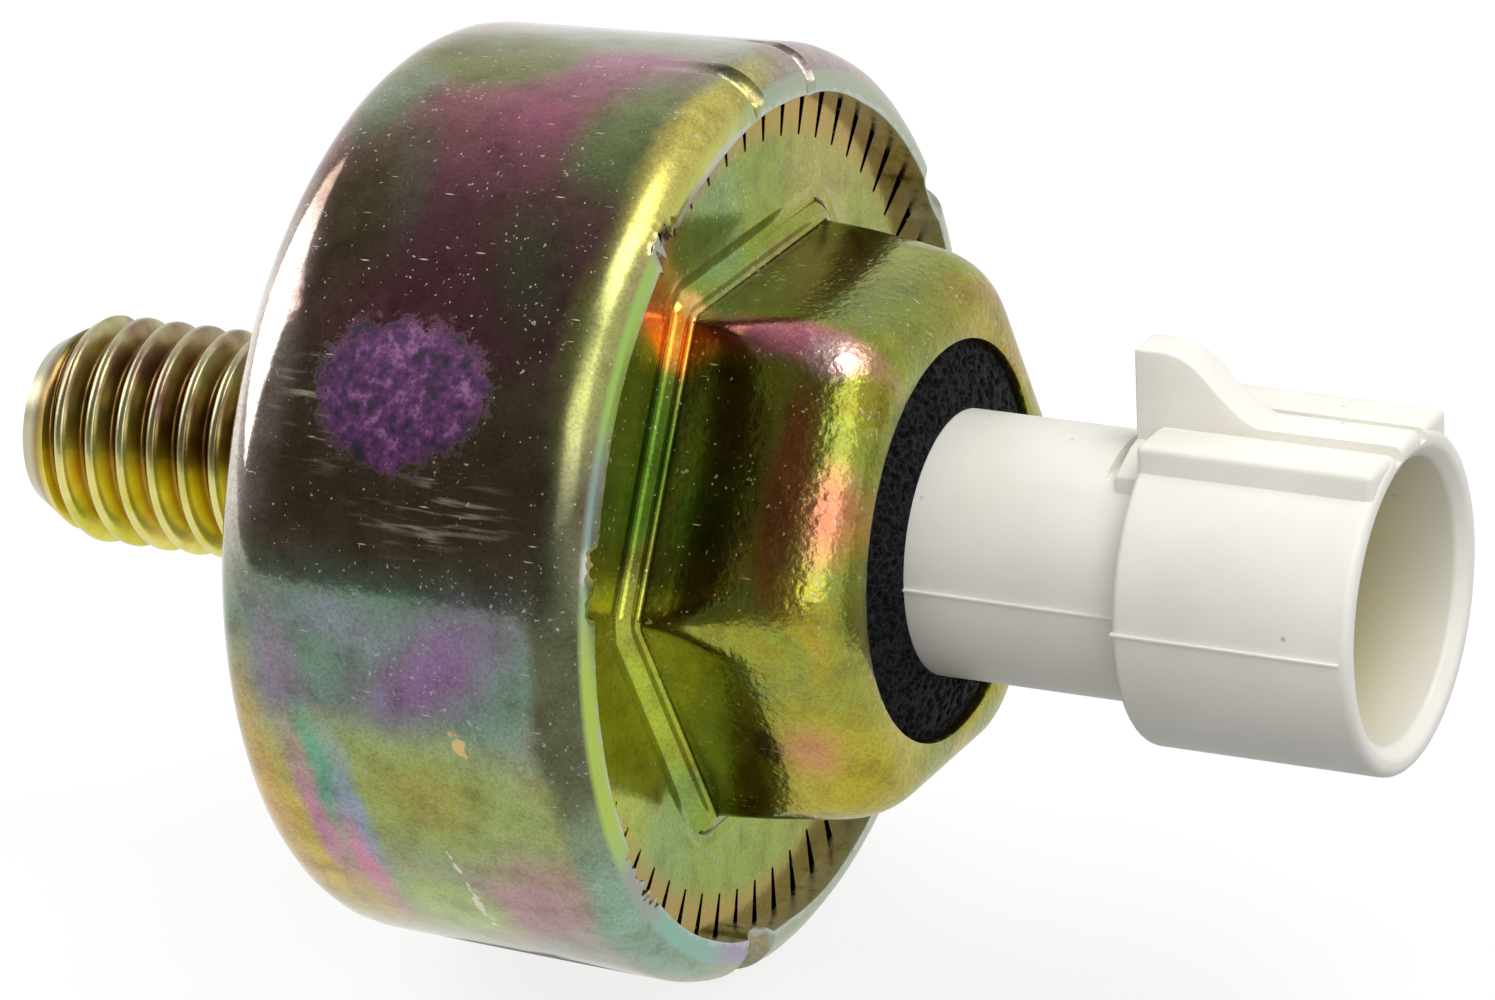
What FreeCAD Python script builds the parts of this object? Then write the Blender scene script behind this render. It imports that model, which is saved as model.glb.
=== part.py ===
import FreeCAD, Part
import math
import os
import re
import Sketcher

# Engine knock sensor: a threaded stud carries a crimped steel cup that holds a piezo
# element, with a drawn hexagon cover and a one-pole plug connector on the axis.
# Millimetres. Origin at the centre of the seating face, +X from the stud to the
# connector, +Z towards the connector's latch.

V = FreeCAD.Vector
doc = FreeCAD.newDocument("knock_sensor")
sheet = doc.addObject("Spreadsheet::Sheet", "Sizes")

SIZES = [
    # M10 stud, rolled thread taken at its crests
    ("stud_radius", 4.95),
    ("stud_length", 17.5),
    ("stud_tip_drop", 0.9),
    ("stud_tip_length", 0.72),
    ("stud_collar_step", 0.55),
    ("stud_head_reach", 3.05),
    ("stud_head_gap", 0.7),
    # Drawn cup with a crimped lip
    ("shell_flare", 0.5),
    ("shell_base_round", 2.4),
    ("shell_inner_round", 0.9),
    ("shell_wall", 1.3),
    ("shell_floor", 2.0),
    ("lip_thickness", 1.3),
    ("lip_round", 1.9),
    ("lip_reach", 2.05),
    ("lip_edge_break", 0.1),
    ("stake_count", 8),
    ("stake_start_angle", 30),
    ("stake_tool_radius", 0.9),
    ("stake_depth", 0.32),
    # Clearances, and how far a cut runs past the surface it opens
    ("cut_run_out", 1.0),
    ("press_clearance", 0.03),
    ("ring_clearance", 0.25),
    ("cover_clearance", 0.15),
    # Sensing stack, from the cup's floor forwards
    ("support_height", 2.6),
    ("support_width", 3.7),
    ("plate_thickness", 0.8),
    ("piezo_radius", 9.0),
    ("piezo_thickness", 0.9),
    ("tag_thickness", 0.3),
    ("tag_tab_width", 3.2),
    ("tag_tab_reach", 3.6),
    ("tag_tab_root", 0.6),
    ("spacer_height", 5.8),
    ("spacer_width", 2.8),
    # Hexagon cover; the cup's radius follows from its flange
    ("flange_reach", 4.73),
    ("gasket_thickness", 0.8),
    ("gasket_gap", 3.1),
    ("cover_sheet", 1.3),
    ("land_step", 1.6),
    ("land_height", 0.5),
    ("land_bevel", 0.35),
    ("hex_corner_radius", 2.4),
    ("crown_radius", 2.8),
    ("hex_height", 8.95),
    ("opening_ledge", 2.64),
    ("opening_rim", 0.3),
    ("notch_count", 58),
    ("notch_start_angle", 2.5),
    ("notch_length", 2.42),
    ("notch_inner_width", 0.22),
    ("notch_outer_width", 0.84),
    ("notch_depth", 0.7),
    # Foam dust ring
    ("foam_width", 2.86),
    ("foam_rim_drop", 0.45),
    ("foam_bulge", 0.75),
    # Connector moulding
    ("base_thickness", 2.4),
    ("ring_groove_depth", 1.2),
    ("boss_clearance", 0.6),
    ("foam_depth", 3.35),
    ("neck_radius", 5.6),
    ("neck_reach", 10.15),
    ("shroud_step", 1.6),
    ("shroud_wall", 1.26),
    ("shroud_length", 10.35),
    ("mouth_chamfer", 0.5),
    ("socket_depth", 10.05),
    ("rib_width", 2.45),
    ("rib_drop", 0.17),
    ("rib_setback", 0.1),
    ("rib_flank", 0.68),
    ("valley_width", 0.7),
    ("valley_depth", 0.7),
    ("fin_thickness", 2.0),
    ("fin_overlap", 1.3),
    ("fin_height", 2.95),
    ("fin_top_length", 1.6),
    ("fin_slope_reach", 4.3),
    ("fin_shoulder_length", 1.4),
    ("fin_shoulder_drop", 0.63),
    ("fin_shoulder_radius", 2.66),
    ("fin_root", 0.2),
    ("pad_half_width", 3.35),
    ("pad_height", 0.6),
    ("dip_length", 0.7),
    ("dip_depth", 0.4),
    # Terminal and its potting
    ("pot_radius", 6.0),
    ("pot_depth", 4.0),
    ("pot_setback", 0.4),
    ("blade_width", 2.8),
    ("blade_thickness", 0.8),
    ("blade_tip_setback", 4.5),
    ("blade_tip_taper", 1.0),
    ("shoulder_width", 5.2),
    ("shoulder_length", 2.4),
    ("tail_length", 2.9),
    ("spring_thickness", 0.3),
    ("spring_width", 2.4),
    ("spring_reach", 6.0),
    ("spring_gap", 1.1),
    ("spring_foot", 1.0),
    ("spring_weld_setback", 0.2),
    # Shunt resistor
    ("resistor_radius", 1.2),
    ("resistor_length", 6.0),
    ("resistor_step", 1.3),
    ("lead_radius", 0.3),
    ("lead_overhang", 1.4),
    ("lead_bend", 0.9),
    ("solder_radius", 0.9),
    ("solder_height", 0.7),
    ("solder_bead", 1.0),
]
for row, (alias, value) in enumerate(SIZES, start=1):
    sheet.set(f"A{row}", alias)
    sheet.set(f"B{row}", str(value))
    sheet.setAlias(f"B{row}", alias)
doc.recompute()

# Sizes that follow from the sheet's own and from each other
FOLLOWING = {
    # Places along the axis, each from the pieces stacked behind it
    "plate_back": "shell_floor + support_height",
    "plate_front": "plate_back + plate_thickness",
    "piezo_front": "plate_front + piezo_thickness",
    "tag_front": "plate_front + tag_thickness",
    "base_back": "tag_front + spacer_height",
    "base_front": "base_back + base_thickness",
    "cover_back": "base_front + gasket_thickness",
    "flange_front": "cover_back + cover_sheet",
    "lip_front": "flange_front + lip_thickness",
    "land_front": "flange_front + land_height",
    "cover_front": "flange_front + hex_height",
    "crown_start": "cover_front - crown_radius",
    "boss_front": "cover_front - foam_depth",
    "shroud_start": "cover_front + neck_reach",
    "mouth_front": "shroud_start + shroud_length",
    "fin_start": "shroud_start - fin_overlap",
    "fin_slope_end": "shroud_start + fin_slope_reach",
    "dip_start": "fin_start - dip_length",
    "pot_front": "base_back + pot_depth",
    "pot_back": "base_back + pot_setback",
    "shoulder_back": "pot_front - shoulder_length",
    "tail_back": "base_back - tail_length",
    "socket_floor": "mouth_front - socket_depth",
    "blade_tip": "mouth_front - blade_tip_setback",
    "resistor_axis": "tail_back + resistor_step",
    # Radii and heights, each from the piece that it fits
    "stud_collar_radius": "stud_radius + stud_collar_step",
    "stud_head_radius": "stud_radius + stud_head_reach",
    "stud_head_height": "support_height - stud_head_gap",
    "cover_radius": "land_width / (2 * cos(30)) + flange_reach",
    "shell_front_radius": "cover_radius + shell_wall + cover_clearance + press_clearance",
    "shell_base_radius": "shell_front_radius - shell_flare",
    "lip_inner_radius": "shell_front_radius - lip_reach",
    "ring_radius": "shell_base_radius - shell_wall - ring_clearance",
    "notch_inner_radius": "cover_radius - notch_length",
    "opening_radius": "neck_radius + foam_width",
    "hex_width": "2 * (opening_radius + opening_ledge)",
    "land_width": "hex_width + land_step",
    "boss_radius": "hex_width / 2 - cover_sheet - boss_clearance",
    "shroud_radius": "neck_radius + shroud_step",
    "socket_radius": "shroud_radius - shroud_wall",
    "rib_inner": "fin_thickness / 2 + valley_width",
    "rib_outer": "rib_inner + rib_width",
    "rib_top": "shroud_radius - rib_drop",
    "valley_floor": "shroud_radius - valley_depth",
    "fin_top": "rib_top + fin_height",
    "pad_radius": "neck_radius + pad_height",
    "dip_floor": "neck_radius - dip_depth",
    # O-ring: fills the space from its groove's floor to the cup's tapered bore
    "ring_place": "base_back + base_thickness / 2",
    "bore_start": "shell_floor + shell_inner_round",
    "bore_share": "(ring_place - bore_start) / (flange_front - bore_start)",
    "bore_at_ring": "shell_base_radius - shell_wall + shell_flare * bore_share",
    "groove_radius": "ring_radius - ring_groove_depth",
    "ring_section": "(bore_at_ring - groove_radius) / 2 - press_clearance",
    # Places across the axis of the two leads: beside the blade, down to the ground tag
    "lead_side": "resistor_length / 2 + lead_overhang",
    "tail_lead_drop": "blade_thickness / 2 + lead_radius + 2 * press_clearance",
    "tab_middle": "ring_radius - spacer_width - tag_tab_reach / 2",
}


def written_out(text):
    """The expression in terms of the sheet's own sizes; every name has an underscore."""
    while True:
        wider = re.sub(r"[a-z]+(_[a-z]+)+",
                       lambda name: f"({FOLLOWING[name[0]]})" if name[0] in FOLLOWING
                       else name[0], text)
        if wider == text:
            return text
        text = wider


def size(text):
    """Current value of an expression."""
    return float(sheet.evalExpression(written_out(text)))


def of_sheet(text):
    """The same expression for use outside the sheet."""
    return re.sub(r"[a-z]+(_[a-z]+)+", r"Sizes.\g<0>", written_out(text))


def new_body(label):
    body = doc.addObject("PartDesign::Body", label.title().replace("_", ""))
    body.Label = label
    body.Placement = FreeCAD.Placement()
    return body


def origin_feature(body, role):
    return [feature for feature in body.Origin.OriginFeatures if feature.Role == role][0]


def new_sketch(body, name, role, offset="0", turn="0"):
    """Sketch on an origin plane, moved along its normal and turned about it."""
    sketch = body.newObject("Sketcher::SketchObject", name)
    sketch.AttachmentSupport = [(origin_feature(body, role), "")]
    sketch.MapMode = "FlatFace"
    turned = FreeCAD.Rotation(V(0, 0, 1), size(turn))
    sketch.AttachmentOffset = FreeCAD.Placement(V(0, 0, size(offset)), turned)
    if offset != "0":
        sketch.setExpression(".AttachmentOffset.Base.z", of_sheet(offset))
    if turn != "0":
        sketch.setExpression(".AttachmentOffset.Rotation.Angle", of_sheet(turn))
    return sketch


def pin_coordinate(sketch, geometry, place, kind, text):
    """Holds one coordinate of a vertex at a sheet expression."""
    if text == "0":
        axis = -2 if kind == "DistanceX" else -1
        sketch.addConstraint(Sketcher.Constraint("PointOnObject", geometry, place, axis))
        return
    index = sketch.addConstraint(Sketcher.Constraint(kind, -1, 1, geometry, place, size(text)))
    sketch.setExpression(f"Constraints[{index}]", of_sheet(text))


def outline(sketch, points, closed=True):
    """Outline. A point is (x, y), or (x, y, radius, turn) when an arc leaves it."""
    first = sketch.GeometryCount
    count = len(points) if closed else len(points) - 1
    places = [V(size(point[0]), size(point[1]), 0) for point in points]
    ends = []
    for index, point in enumerate(points[:count]):
        start = places[index]
        finish = places[(index + 1) % len(points)]
        if len(point) == 2:
            sketch.addGeometry(Part.LineSegment(start, finish), False)
            ends.append((1, 2))
            continue
        radius = size(point[2])
        chord = finish - start
        rise = math.sqrt(max(radius ** 2 - chord.Length ** 2 / 4, 0))
        left = V(-chord.y, chord.x, 0).normalize()
        centre = (start + finish) * 0.5 + left * rise * point[3]
        sweep = (start, finish) if point[3] > 0 else (finish, start)
        angles = [math.atan2(end.y - centre.y, end.x - centre.x) for end in sweep]
        circle = Part.Circle(centre, V(0, 0, 1), radius)
        sketch.addGeometry(Part.ArcOfCircle(circle, angles[0], angles[1]), False)
        ends.append((1, 2) if point[3] > 0 else (2, 1))
    for index in range(count if closed else count - 1):
        following = (index + 1) % count
        sketch.addConstraint(Sketcher.Constraint(
            "Coincident", first + index, ends[index][1], first + following, ends[following][0]))
    if not closed:
        pin_coordinate(sketch, first + count - 1, ends[-1][1], "DistanceX", points[-1][0])
        pin_coordinate(sketch, first + count - 1, ends[-1][1], "DistanceY", points[-1][1])
    for index, point in enumerate(points[:count]):
        pin_coordinate(sketch, first + index, ends[index][0], "DistanceX", point[0])
        pin_coordinate(sketch, first + index, ends[index][0], "DistanceY", point[1])
        if len(point) > 2:
            arc = sketch.addConstraint(
                Sketcher.Constraint("Radius", first + index, size(point[2])))
            sketch.setExpression(f"Constraints[{arc}]", of_sheet(point[2]))
    return sketch


def circle_outline(sketch, x, y, radius):
    index = sketch.addGeometry(Part.Circle(V(size(x), size(y), 0), V(0, 0, 1), size(radius)))
    pin_coordinate(sketch, index, 3, "DistanceX", x)
    pin_coordinate(sketch, index, 3, "DistanceY", y)
    arc = sketch.addConstraint(Sketcher.Constraint("Radius", index, size(radius)))
    sketch.setExpression(f"Constraints[{arc}]", of_sheet(radius))
    return sketch


def rectangle(x0, y0, x1, y1):
    return [(x0, y0), (x1, y0), (x1, y1), (x0, y1)]


def hexagon(across):
    """Corner points of a hexagon with a corner on the first axis."""
    points = []
    for corner in range(6):
        reach = f"({across}) / (2 * cos(30))"
        points.append((f"{reach} * cos({60 * corner})", f"{reach} * sin({60 * corner})"))
    points[0] = (points[0][0], "0")
    points[3] = (points[3][0], "0")
    return points


def turned(body, name, points, cut=False):
    """Revolves an outline of (x, radius) points about the X axis."""
    sketch = outline(new_sketch(body, name + "Profile", "XZ_Plane"), points)
    kind = "PartDesign::Groove" if cut else "PartDesign::Revolution"
    feature = body.newObject(kind, name)
    feature.Profile = sketch
    feature.ReferenceAxis = (sketch, ["H_Axis"])
    feature.Angle = 360
    return feature


def extruded(body, name, sketch, length, cut=False, reverse=False, both=False):
    feature = body.newObject("PartDesign::Pocket" if cut else "PartDesign::Pad", name)
    feature.Profile = sketch
    feature.Length = size(length)
    feature.setExpression("Length", of_sheet(length))
    feature.Reversed = reverse
    feature.Midplane = both
    return feature


def around_axis(body, name, feature, count):
    pattern = body.newObject("PartDesign::PolarPattern", name)
    pattern.Originals = [feature]
    pattern.Axis = (origin_feature(body, "X_Axis"), [""])
    pattern.Angle = 360
    pattern.Occurrences = int(size(count))
    pattern.setExpression("Occurrences", of_sheet(count))
    body.Tip = pattern
    return pattern


def edges_where(feature, test):
    """Names of the edges whose middle point passes the test."""
    doc.recompute()
    names = []
    for index, edge in enumerate(feature.Shape.Edges, start=1):
        middle = edge.valueAt((edge.FirstParameter + edge.LastParameter) / 2)
        if test(edge, middle):
            names.append(f"Edge{index}")
    return names


def upright_edges(feature, front):
    """Edges along the axis that end at the given front plane."""
    return edges_where(feature, lambda edge, middle: edge.BoundBox.XLength > 0.1
                       and edge.BoundBox.YLength < 1e-3 and abs(edge.BoundBox.XMax - front) < 1e-3)


def dressed(body, name, feature, kind, names, reach):
    dress = body.newObject("PartDesign::" + kind, name)
    dress.Base = (feature, names)
    quantity = "Radius" if kind == "Fillet" else "Size"
    setattr(dress, quantity, size(reach))
    dress.setExpression(quantity, of_sheet(reach))
    return dress


def make_stud():
    """M10 stud, its collar through the cup's floor and a welded head on it.

    The rod is the thread's crest cylinder.
    """
    body = new_body("stud")
    turned(body, "Rod", [
        ("-stud_length", "0"),
        ("-stud_length", "stud_radius - stud_tip_drop"),
        ("-stud_length + stud_tip_length", "stud_radius"),
        ("0", "stud_radius"),
        ("0", "stud_collar_radius"),
        ("shell_floor", "stud_collar_radius"),
        ("shell_floor", "stud_head_radius"),
        ("shell_floor + stud_head_height", "stud_head_radius"),
        ("shell_floor + stud_head_height", "0"),
    ])


def make_shell():
    """Drawn cup: rounded base edge, tapered wall, lip rolled in over the cover flange."""
    body = new_body("body_shell")
    bore_back = "shell_base_radius - shell_wall"
    bore_front = "shell_front_radius - shell_wall"
    turned(body, "Cup", [
        ("0", "stud_collar_radius + press_clearance"),
        ("0", "shell_base_radius - shell_base_round", "shell_base_round", -1),
        ("shell_base_round", "shell_base_radius"),
        ("lip_front - lip_round", "shell_front_radius", "lip_round", -1),
        ("lip_front", "shell_front_radius - lip_round"),
        ("lip_front", "lip_inner_radius + lip_edge_break"),
        ("lip_front - lip_edge_break", "lip_inner_radius"),
        ("flange_front", "lip_inner_radius"),
        ("flange_front", bore_front),
        ("shell_floor + shell_inner_round", bore_back),
        ("shell_floor", bore_back + " - shell_inner_round"),
        ("shell_floor", "stud_collar_radius + press_clearance"),
    ])
    # Stakes: a round-nosed tool pressed across the rolled shoulder at 45 degrees
    doc.recompute()
    stake = body.newObject("PartDesign::SubtractiveCylinder", "Stake")
    slant = "0.7071 * (lip_round - stake_depth + stake_tool_radius)"
    stake.Radius = size("stake_tool_radius")
    stake.setExpression("Radius", of_sheet("stake_tool_radius"))
    stake.Height = size("4 * lip_round")
    stake.setExpression("Height", of_sheet("4 * lip_round"))
    along = f"lip_front - lip_round + {slant} - 0.7071 * 2 * lip_round"
    out = f"shell_front_radius - lip_round + {slant} + 0.7071 * 2 * lip_round"
    spin = FreeCAD.Rotation(V(1, 0, 0), size("stake_start_angle"))
    lean = FreeCAD.Rotation(V(0, 0, 1), V(1, -1, 0))
    stake.Placement = FreeCAD.Placement(spin.multVec(V(size(along), size(out), 0)), spin * lean)
    stake.setExpression(".Placement.Base.x", of_sheet(along))
    stake.setExpression(".Placement.Base.y", of_sheet(f"({out}) * cos(stake_start_angle)"))
    stake.setExpression(".Placement.Base.z", of_sheet(f"({out}) * sin(stake_start_angle)"))
    around_axis(body, "Stakes", stake, "stake_count")


def make_rings():
    """Steel support ring, vibration plate, ceramic disc and insulating spacer."""
    turned(new_body("support_ring"), "Ring", rectangle(
        "shell_floor", "ring_radius - support_width",
        "plate_back", "ring_radius - shell_inner_round"))
    turned(new_body("vibration_plate"), "Plate", rectangle(
        "plate_back", "0", "plate_front", "ring_radius"))
    turned(new_body("piezo_disc"), "Disc", rectangle(
        "plate_front", "0", "piezo_front", "piezo_radius"))
    turned(new_body("spacer_ring"), "Spacer", rectangle(
        "tag_front", "ring_radius - spacer_width", "base_back", "ring_radius"))


def make_ground_tag():
    """Flat ring clamped on the plate's rim, with one solder tab reaching inwards."""
    body = new_body("ground_tag")
    turned(body, "Band", rectangle(
        "plate_front", "ring_radius - spacer_width", "tag_front", "ring_radius"))
    tab = new_sketch(body, "TabOutline", "YZ_Plane", "plate_front")
    inner = "ring_radius - spacer_width"
    outline(tab, rectangle(
        "-lead_side - tag_tab_width / 2", f"-({inner}) - tag_tab_root",
        "-lead_side + tag_tab_width / 2", f"-({inner}) + tag_tab_reach"))
    extruded(body, "Tab", tab, "tag_thickness")


def make_connector():
    """White moulding: base disc, boss, neck, shroud, two key ribs and the latch fin."""
    body = new_body("connector_body")
    groove_back = "ring_place - ring_section - press_clearance"
    groove_front = "ring_place + ring_section + press_clearance"
    turned(body, "Moulding", [
        ("pot_front", "0"),
        ("pot_front", "pot_radius"),
        ("base_back", "pot_radius"),
        ("base_back", "ring_radius"),
        (groove_back, "ring_radius"),
        (groove_back, "groove_radius"),
        (groove_front, "groove_radius"),
        (groove_front, "ring_radius"),
        ("base_front", "ring_radius"),
        ("base_front", "boss_radius"),
        ("boss_front", "boss_radius"),
        ("boss_front", "neck_radius"),
        ("shroud_start", "neck_radius"),
        ("shroud_start", "shroud_radius"),
        ("mouth_front - mouth_chamfer", "shroud_radius"),
        ("mouth_front", "shroud_radius - mouth_chamfer"),
        ("mouth_front", "socket_radius"),
        ("socket_floor", "socket_radius"),
        ("socket_floor", "0"),
    ])
    # Key ribs: square shoulders that stand out of the round shroud on both sides
    rib_foot = "sqrt(((shroud_radius + socket_radius) / 2) ^ 2 - rib_outer ^ 2)"
    for name, side in (("FrontRib", "-"), ("RearRib", "")):
        rib = new_sketch(body, name + "Outline", "YZ_Plane", "shroud_start")
        outline(rib, [
            (f"{side}rib_inner", "valley_floor"),
            (f"{side}(rib_outer - rib_flank)", "valley_floor"),
            (f"{side}(rib_outer - rib_flank)", rib_foot),
            (f"{side}rib_outer", rib_foot),
            (f"{side}rib_outer", "rib_top"),
            (f"{side}rib_inner", "rib_top"),
        ])
        extruded(body, name, rib, "mouth_front - rib_setback - shroud_start")
    # Sunk valleys between the ribs and the central ridge
    for name, side in (("FrontValley", "-"), ("RearValley", "")):
        valley = new_sketch(body, name + "Outline", "YZ_Plane", "shroud_start")
        outline(valley, rectangle(
            f"{side}fin_thickness / 2", "valley_floor",
            f"{side}rib_inner", "rib_top + cut_run_out"))
        doc.recompute()
        extruded(body, name, valley, "mouth_front - shroud_start", cut=True, reverse=True)
    # Raised pad that carries the fin over the neck
    pad = new_sketch(body, "PadOutline", "YZ_Plane", "fin_start")
    pad_edge = "sqrt(pad_radius ^ 2 - pad_half_width ^ 2)"
    outline(pad, [
        ("-pad_half_width", "neck_radius / 2"),
        ("pad_half_width", "neck_radius / 2"),
        ("pad_half_width", pad_edge, "pad_radius", 1),
        ("-pad_half_width", pad_edge),
    ])
    extruded(body, "Pad", pad, "shroud_start - fin_start")
    # Latch fin: upright rear face, rounded top, slope down to the ridge
    fin = new_sketch(body, "FinOutline", "XZ_Plane")
    outline(fin, [
        ("fin_start", "neck_radius - fin_root"),
        ("shroud_start + fin_root", "neck_radius - fin_root"),
        ("shroud_start + fin_root", "valley_floor - fin_root"),
        ("mouth_front - rib_setback", "valley_floor - fin_root"),
        ("mouth_front - rib_setback", "rib_top"),
        ("fin_slope_end", "rib_top"),
        ("fin_start + fin_top_length + fin_shoulder_length", "fin_top - fin_shoulder_drop",
         "fin_shoulder_radius", 1),
        ("fin_start + fin_top_length", "fin_top"),
        ("fin_start", "fin_top"),
    ])
    extruded(body, "Fin", fin, "fin_thickness", both=True)
    # Shallow dip across the top of the neck behind the latch
    dip = new_sketch(body, "DipOutline", "XZ_Plane")
    outline(dip, rectangle(
        "dip_start", "dip_floor", "fin_start", "neck_radius + cut_run_out"))
    doc.recompute()
    extruded(body, "Dip", dip, "4 * neck_radius", cut=True, both=True)
    # Slot for the terminal
    slot = new_sketch(body, "SlotOutline", "YZ_Plane", "pot_front")
    half_wide = "(blade_width / 2 + press_clearance)"
    half_thick = "(blade_thickness / 2 + press_clearance)"
    outline(slot, rectangle("-" + half_wide, "-" + half_thick, half_wide, half_thick))
    doc.recompute()
    extruded(body, "Slot", slot, "socket_floor - pot_front", cut=True, reverse=True)


def make_seals():
    """O-ring in the moulding's rim, flat gasket under the cover, resin in the recess."""
    ring = new_body("base_o_ring")
    section = new_sketch(ring, "Section", "XZ_Plane")
    circle_outline(section, "ring_place",
                   "groove_radius + press_clearance + ring_section", "ring_section")
    torus = ring.newObject("PartDesign::Revolution", "Torus")
    torus.Profile = section
    torus.ReferenceAxis = (section, ["H_Axis"])
    torus.Angle = 360
    turned(new_body("cover_gasket"), "Gasket", rectangle(
        "base_front", "boss_radius + gasket_gap", "cover_back", "ring_radius"))
    potting = new_body("terminal_potting")
    turned(potting, "Plug", rectangle(
        "pot_back", "0", "pot_front", "pot_radius - press_clearance"))
    for name, wide, start, finish in (
            ("ShoulderSlot", "shoulder_width", "shoulder_back", "pot_front"),
            ("TailSlot", "blade_width", "pot_back", "shoulder_back")):
        slot = new_sketch(potting, name + "Outline", "YZ_Plane", start)
        outline(slot, rectangle(
            f"-{wide} / 2", "-blade_thickness / 2", f"{wide} / 2", "blade_thickness / 2"))
        doc.recompute()
        extruded(potting, name, slot, f"{finish} - ({start})", cut=True, reverse=True)


def make_cover():
    """Drawn hexagon cover: notched flange, bevelled land, domed hexagon, round opening."""
    body = new_body("hex_cover")
    turned(body, "Flange", rectangle("cover_back", "0", "flange_front", "cover_radius"))
    land = outline(new_sketch(body, "LandOutline", "YZ_Plane", "flange_front"), hexagon("land_width"))
    land_top = size("land_front")
    land_pad = extruded(body, "Land", land, "land_height")
    land_round = dressed(
        body, "LandCorners", land_pad, "Fillet", upright_edges(land_pad, land_top),
        "hex_corner_radius")
    dressed(body, "LandBevel", land_round, "Chamfer", edges_where(
        land_round, lambda edge, middle: abs(middle.x - land_top) < 1e-4), "land_bevel")
    drum = outline(new_sketch(body, "DrumOutline", "YZ_Plane", "flange_front"), hexagon("hex_width"))
    drum_pad = extruded(body, "Drum", drum, "cover_front - flange_front")
    dressed(body, "DrumCorners", drum_pad, "Fillet",
            upright_edges(drum_pad, size("cover_front")), "hex_corner_radius")
    # Crown: each flat rolls over towards the opening
    roll = outline(new_sketch(body, "RollOutline", "XZ_Plane"), [
        ("crown_start", "hex_width / 2", "crown_radius", -1),
        ("cover_front", "hex_width / 2 - crown_radius"),
        ("cover_front + cut_run_out", "hex_width / 2 - crown_radius"),
        ("cover_front + cut_run_out", "hex_width / 2 + cut_run_out"),
        ("crown_start", "hex_width / 2 + cut_run_out"),
    ])
    doc.recompute()
    roll_cut = extruded(body, "Roll", roll, "2 * hex_width", cut=True, both=True)
    around_axis(body, "Crown", roll_cut, "6")
    # The corners follow a dome that ends at the opening's rim, so that they fade away
    corner_reach = "(hex_width / (2 * cos(30)) - hex_corner_radius * (1 / cos(30) - 1))"
    dome_roll = f"({corner_reach} - opening_radius - opening_rim)"
    doc.recompute()
    turned(body, "Dome", [
        (f"cover_front - {dome_roll}", corner_reach, dome_roll, -1),
        ("cover_front", "opening_radius + opening_rim"),
        ("cover_front + cut_run_out", "opening_radius + opening_rim"),
        ("cover_front + cut_run_out", corner_reach + " + cut_run_out"),
        (f"cover_front - {dome_roll}", corner_reach + " + cut_run_out"),
    ], cut=True)
    # Hollow: hexagon bore, rolled over under the crown
    hollow = outline(new_sketch(body, "HollowOutline", "YZ_Plane", "cover_back"),
                     hexagon("hex_width - 2 * cover_sheet"))
    doc.recompute()
    extruded(body, "Hollow", hollow, "crown_start - cover_back", cut=True, reverse=True)
    inner_roll = "(crown_radius - cover_sheet)"
    axis_radius = "(hex_width / 2 - crown_radius)"
    turned(body, "Vault", [
        ("crown_start", "0"),
        ("crown_start", f"{axis_radius} + {inner_roll}", inner_roll, -1),
        (f"crown_start + sqrt({inner_roll} ^ 2 - (opening_radius - {axis_radius}) ^ 2)",
         "opening_radius"),
        (f"crown_start + sqrt({inner_roll} ^ 2 - (opening_radius - {axis_radius}) ^ 2)", "0"),
    ], cut=True)
    bore = circle_outline(
        new_sketch(body, "OpeningOutline", "YZ_Plane", "cover_back"), "0", "0", "opening_radius")
    doc.recompute()
    extruded(body, "Opening", bore, "cover_front - cover_back + cut_run_out",
             cut=True, reverse=True)
    # Ring of narrow wedge notches that the crimp bites into
    notch = new_sketch(body, "NotchOutline", "YZ_Plane", "flange_front", "notch_start_angle")
    outline(notch, [
        ("notch_inner_radius", "-notch_inner_width / 2"),
        ("cover_radius", "-notch_outer_width / 2"),
        ("cover_radius + cut_run_out", "-notch_outer_width / 2"),
        ("cover_radius + cut_run_out", "notch_outer_width / 2"),
        ("cover_radius", "notch_outer_width / 2"),
        ("notch_inner_radius", "notch_inner_width / 2"),
    ])
    doc.recompute()
    cut = extruded(body, "Notch", notch, "notch_depth", cut=True)
    around_axis(body, "Notches", cut, "notch_count")


def make_foam():
    """Open-cell foam ring squeezed between the neck and the cover's opening."""
    turned(new_body("foam_ring"), "Foam", [
        ("boss_front", "neck_radius + press_clearance"),
        ("cover_front - foam_rim_drop + foam_bulge", "neck_radius + press_clearance"),
        ("cover_front - foam_rim_drop", "opening_radius - press_clearance"),
        ("boss_front", "opening_radius - press_clearance"),
    ])


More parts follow.
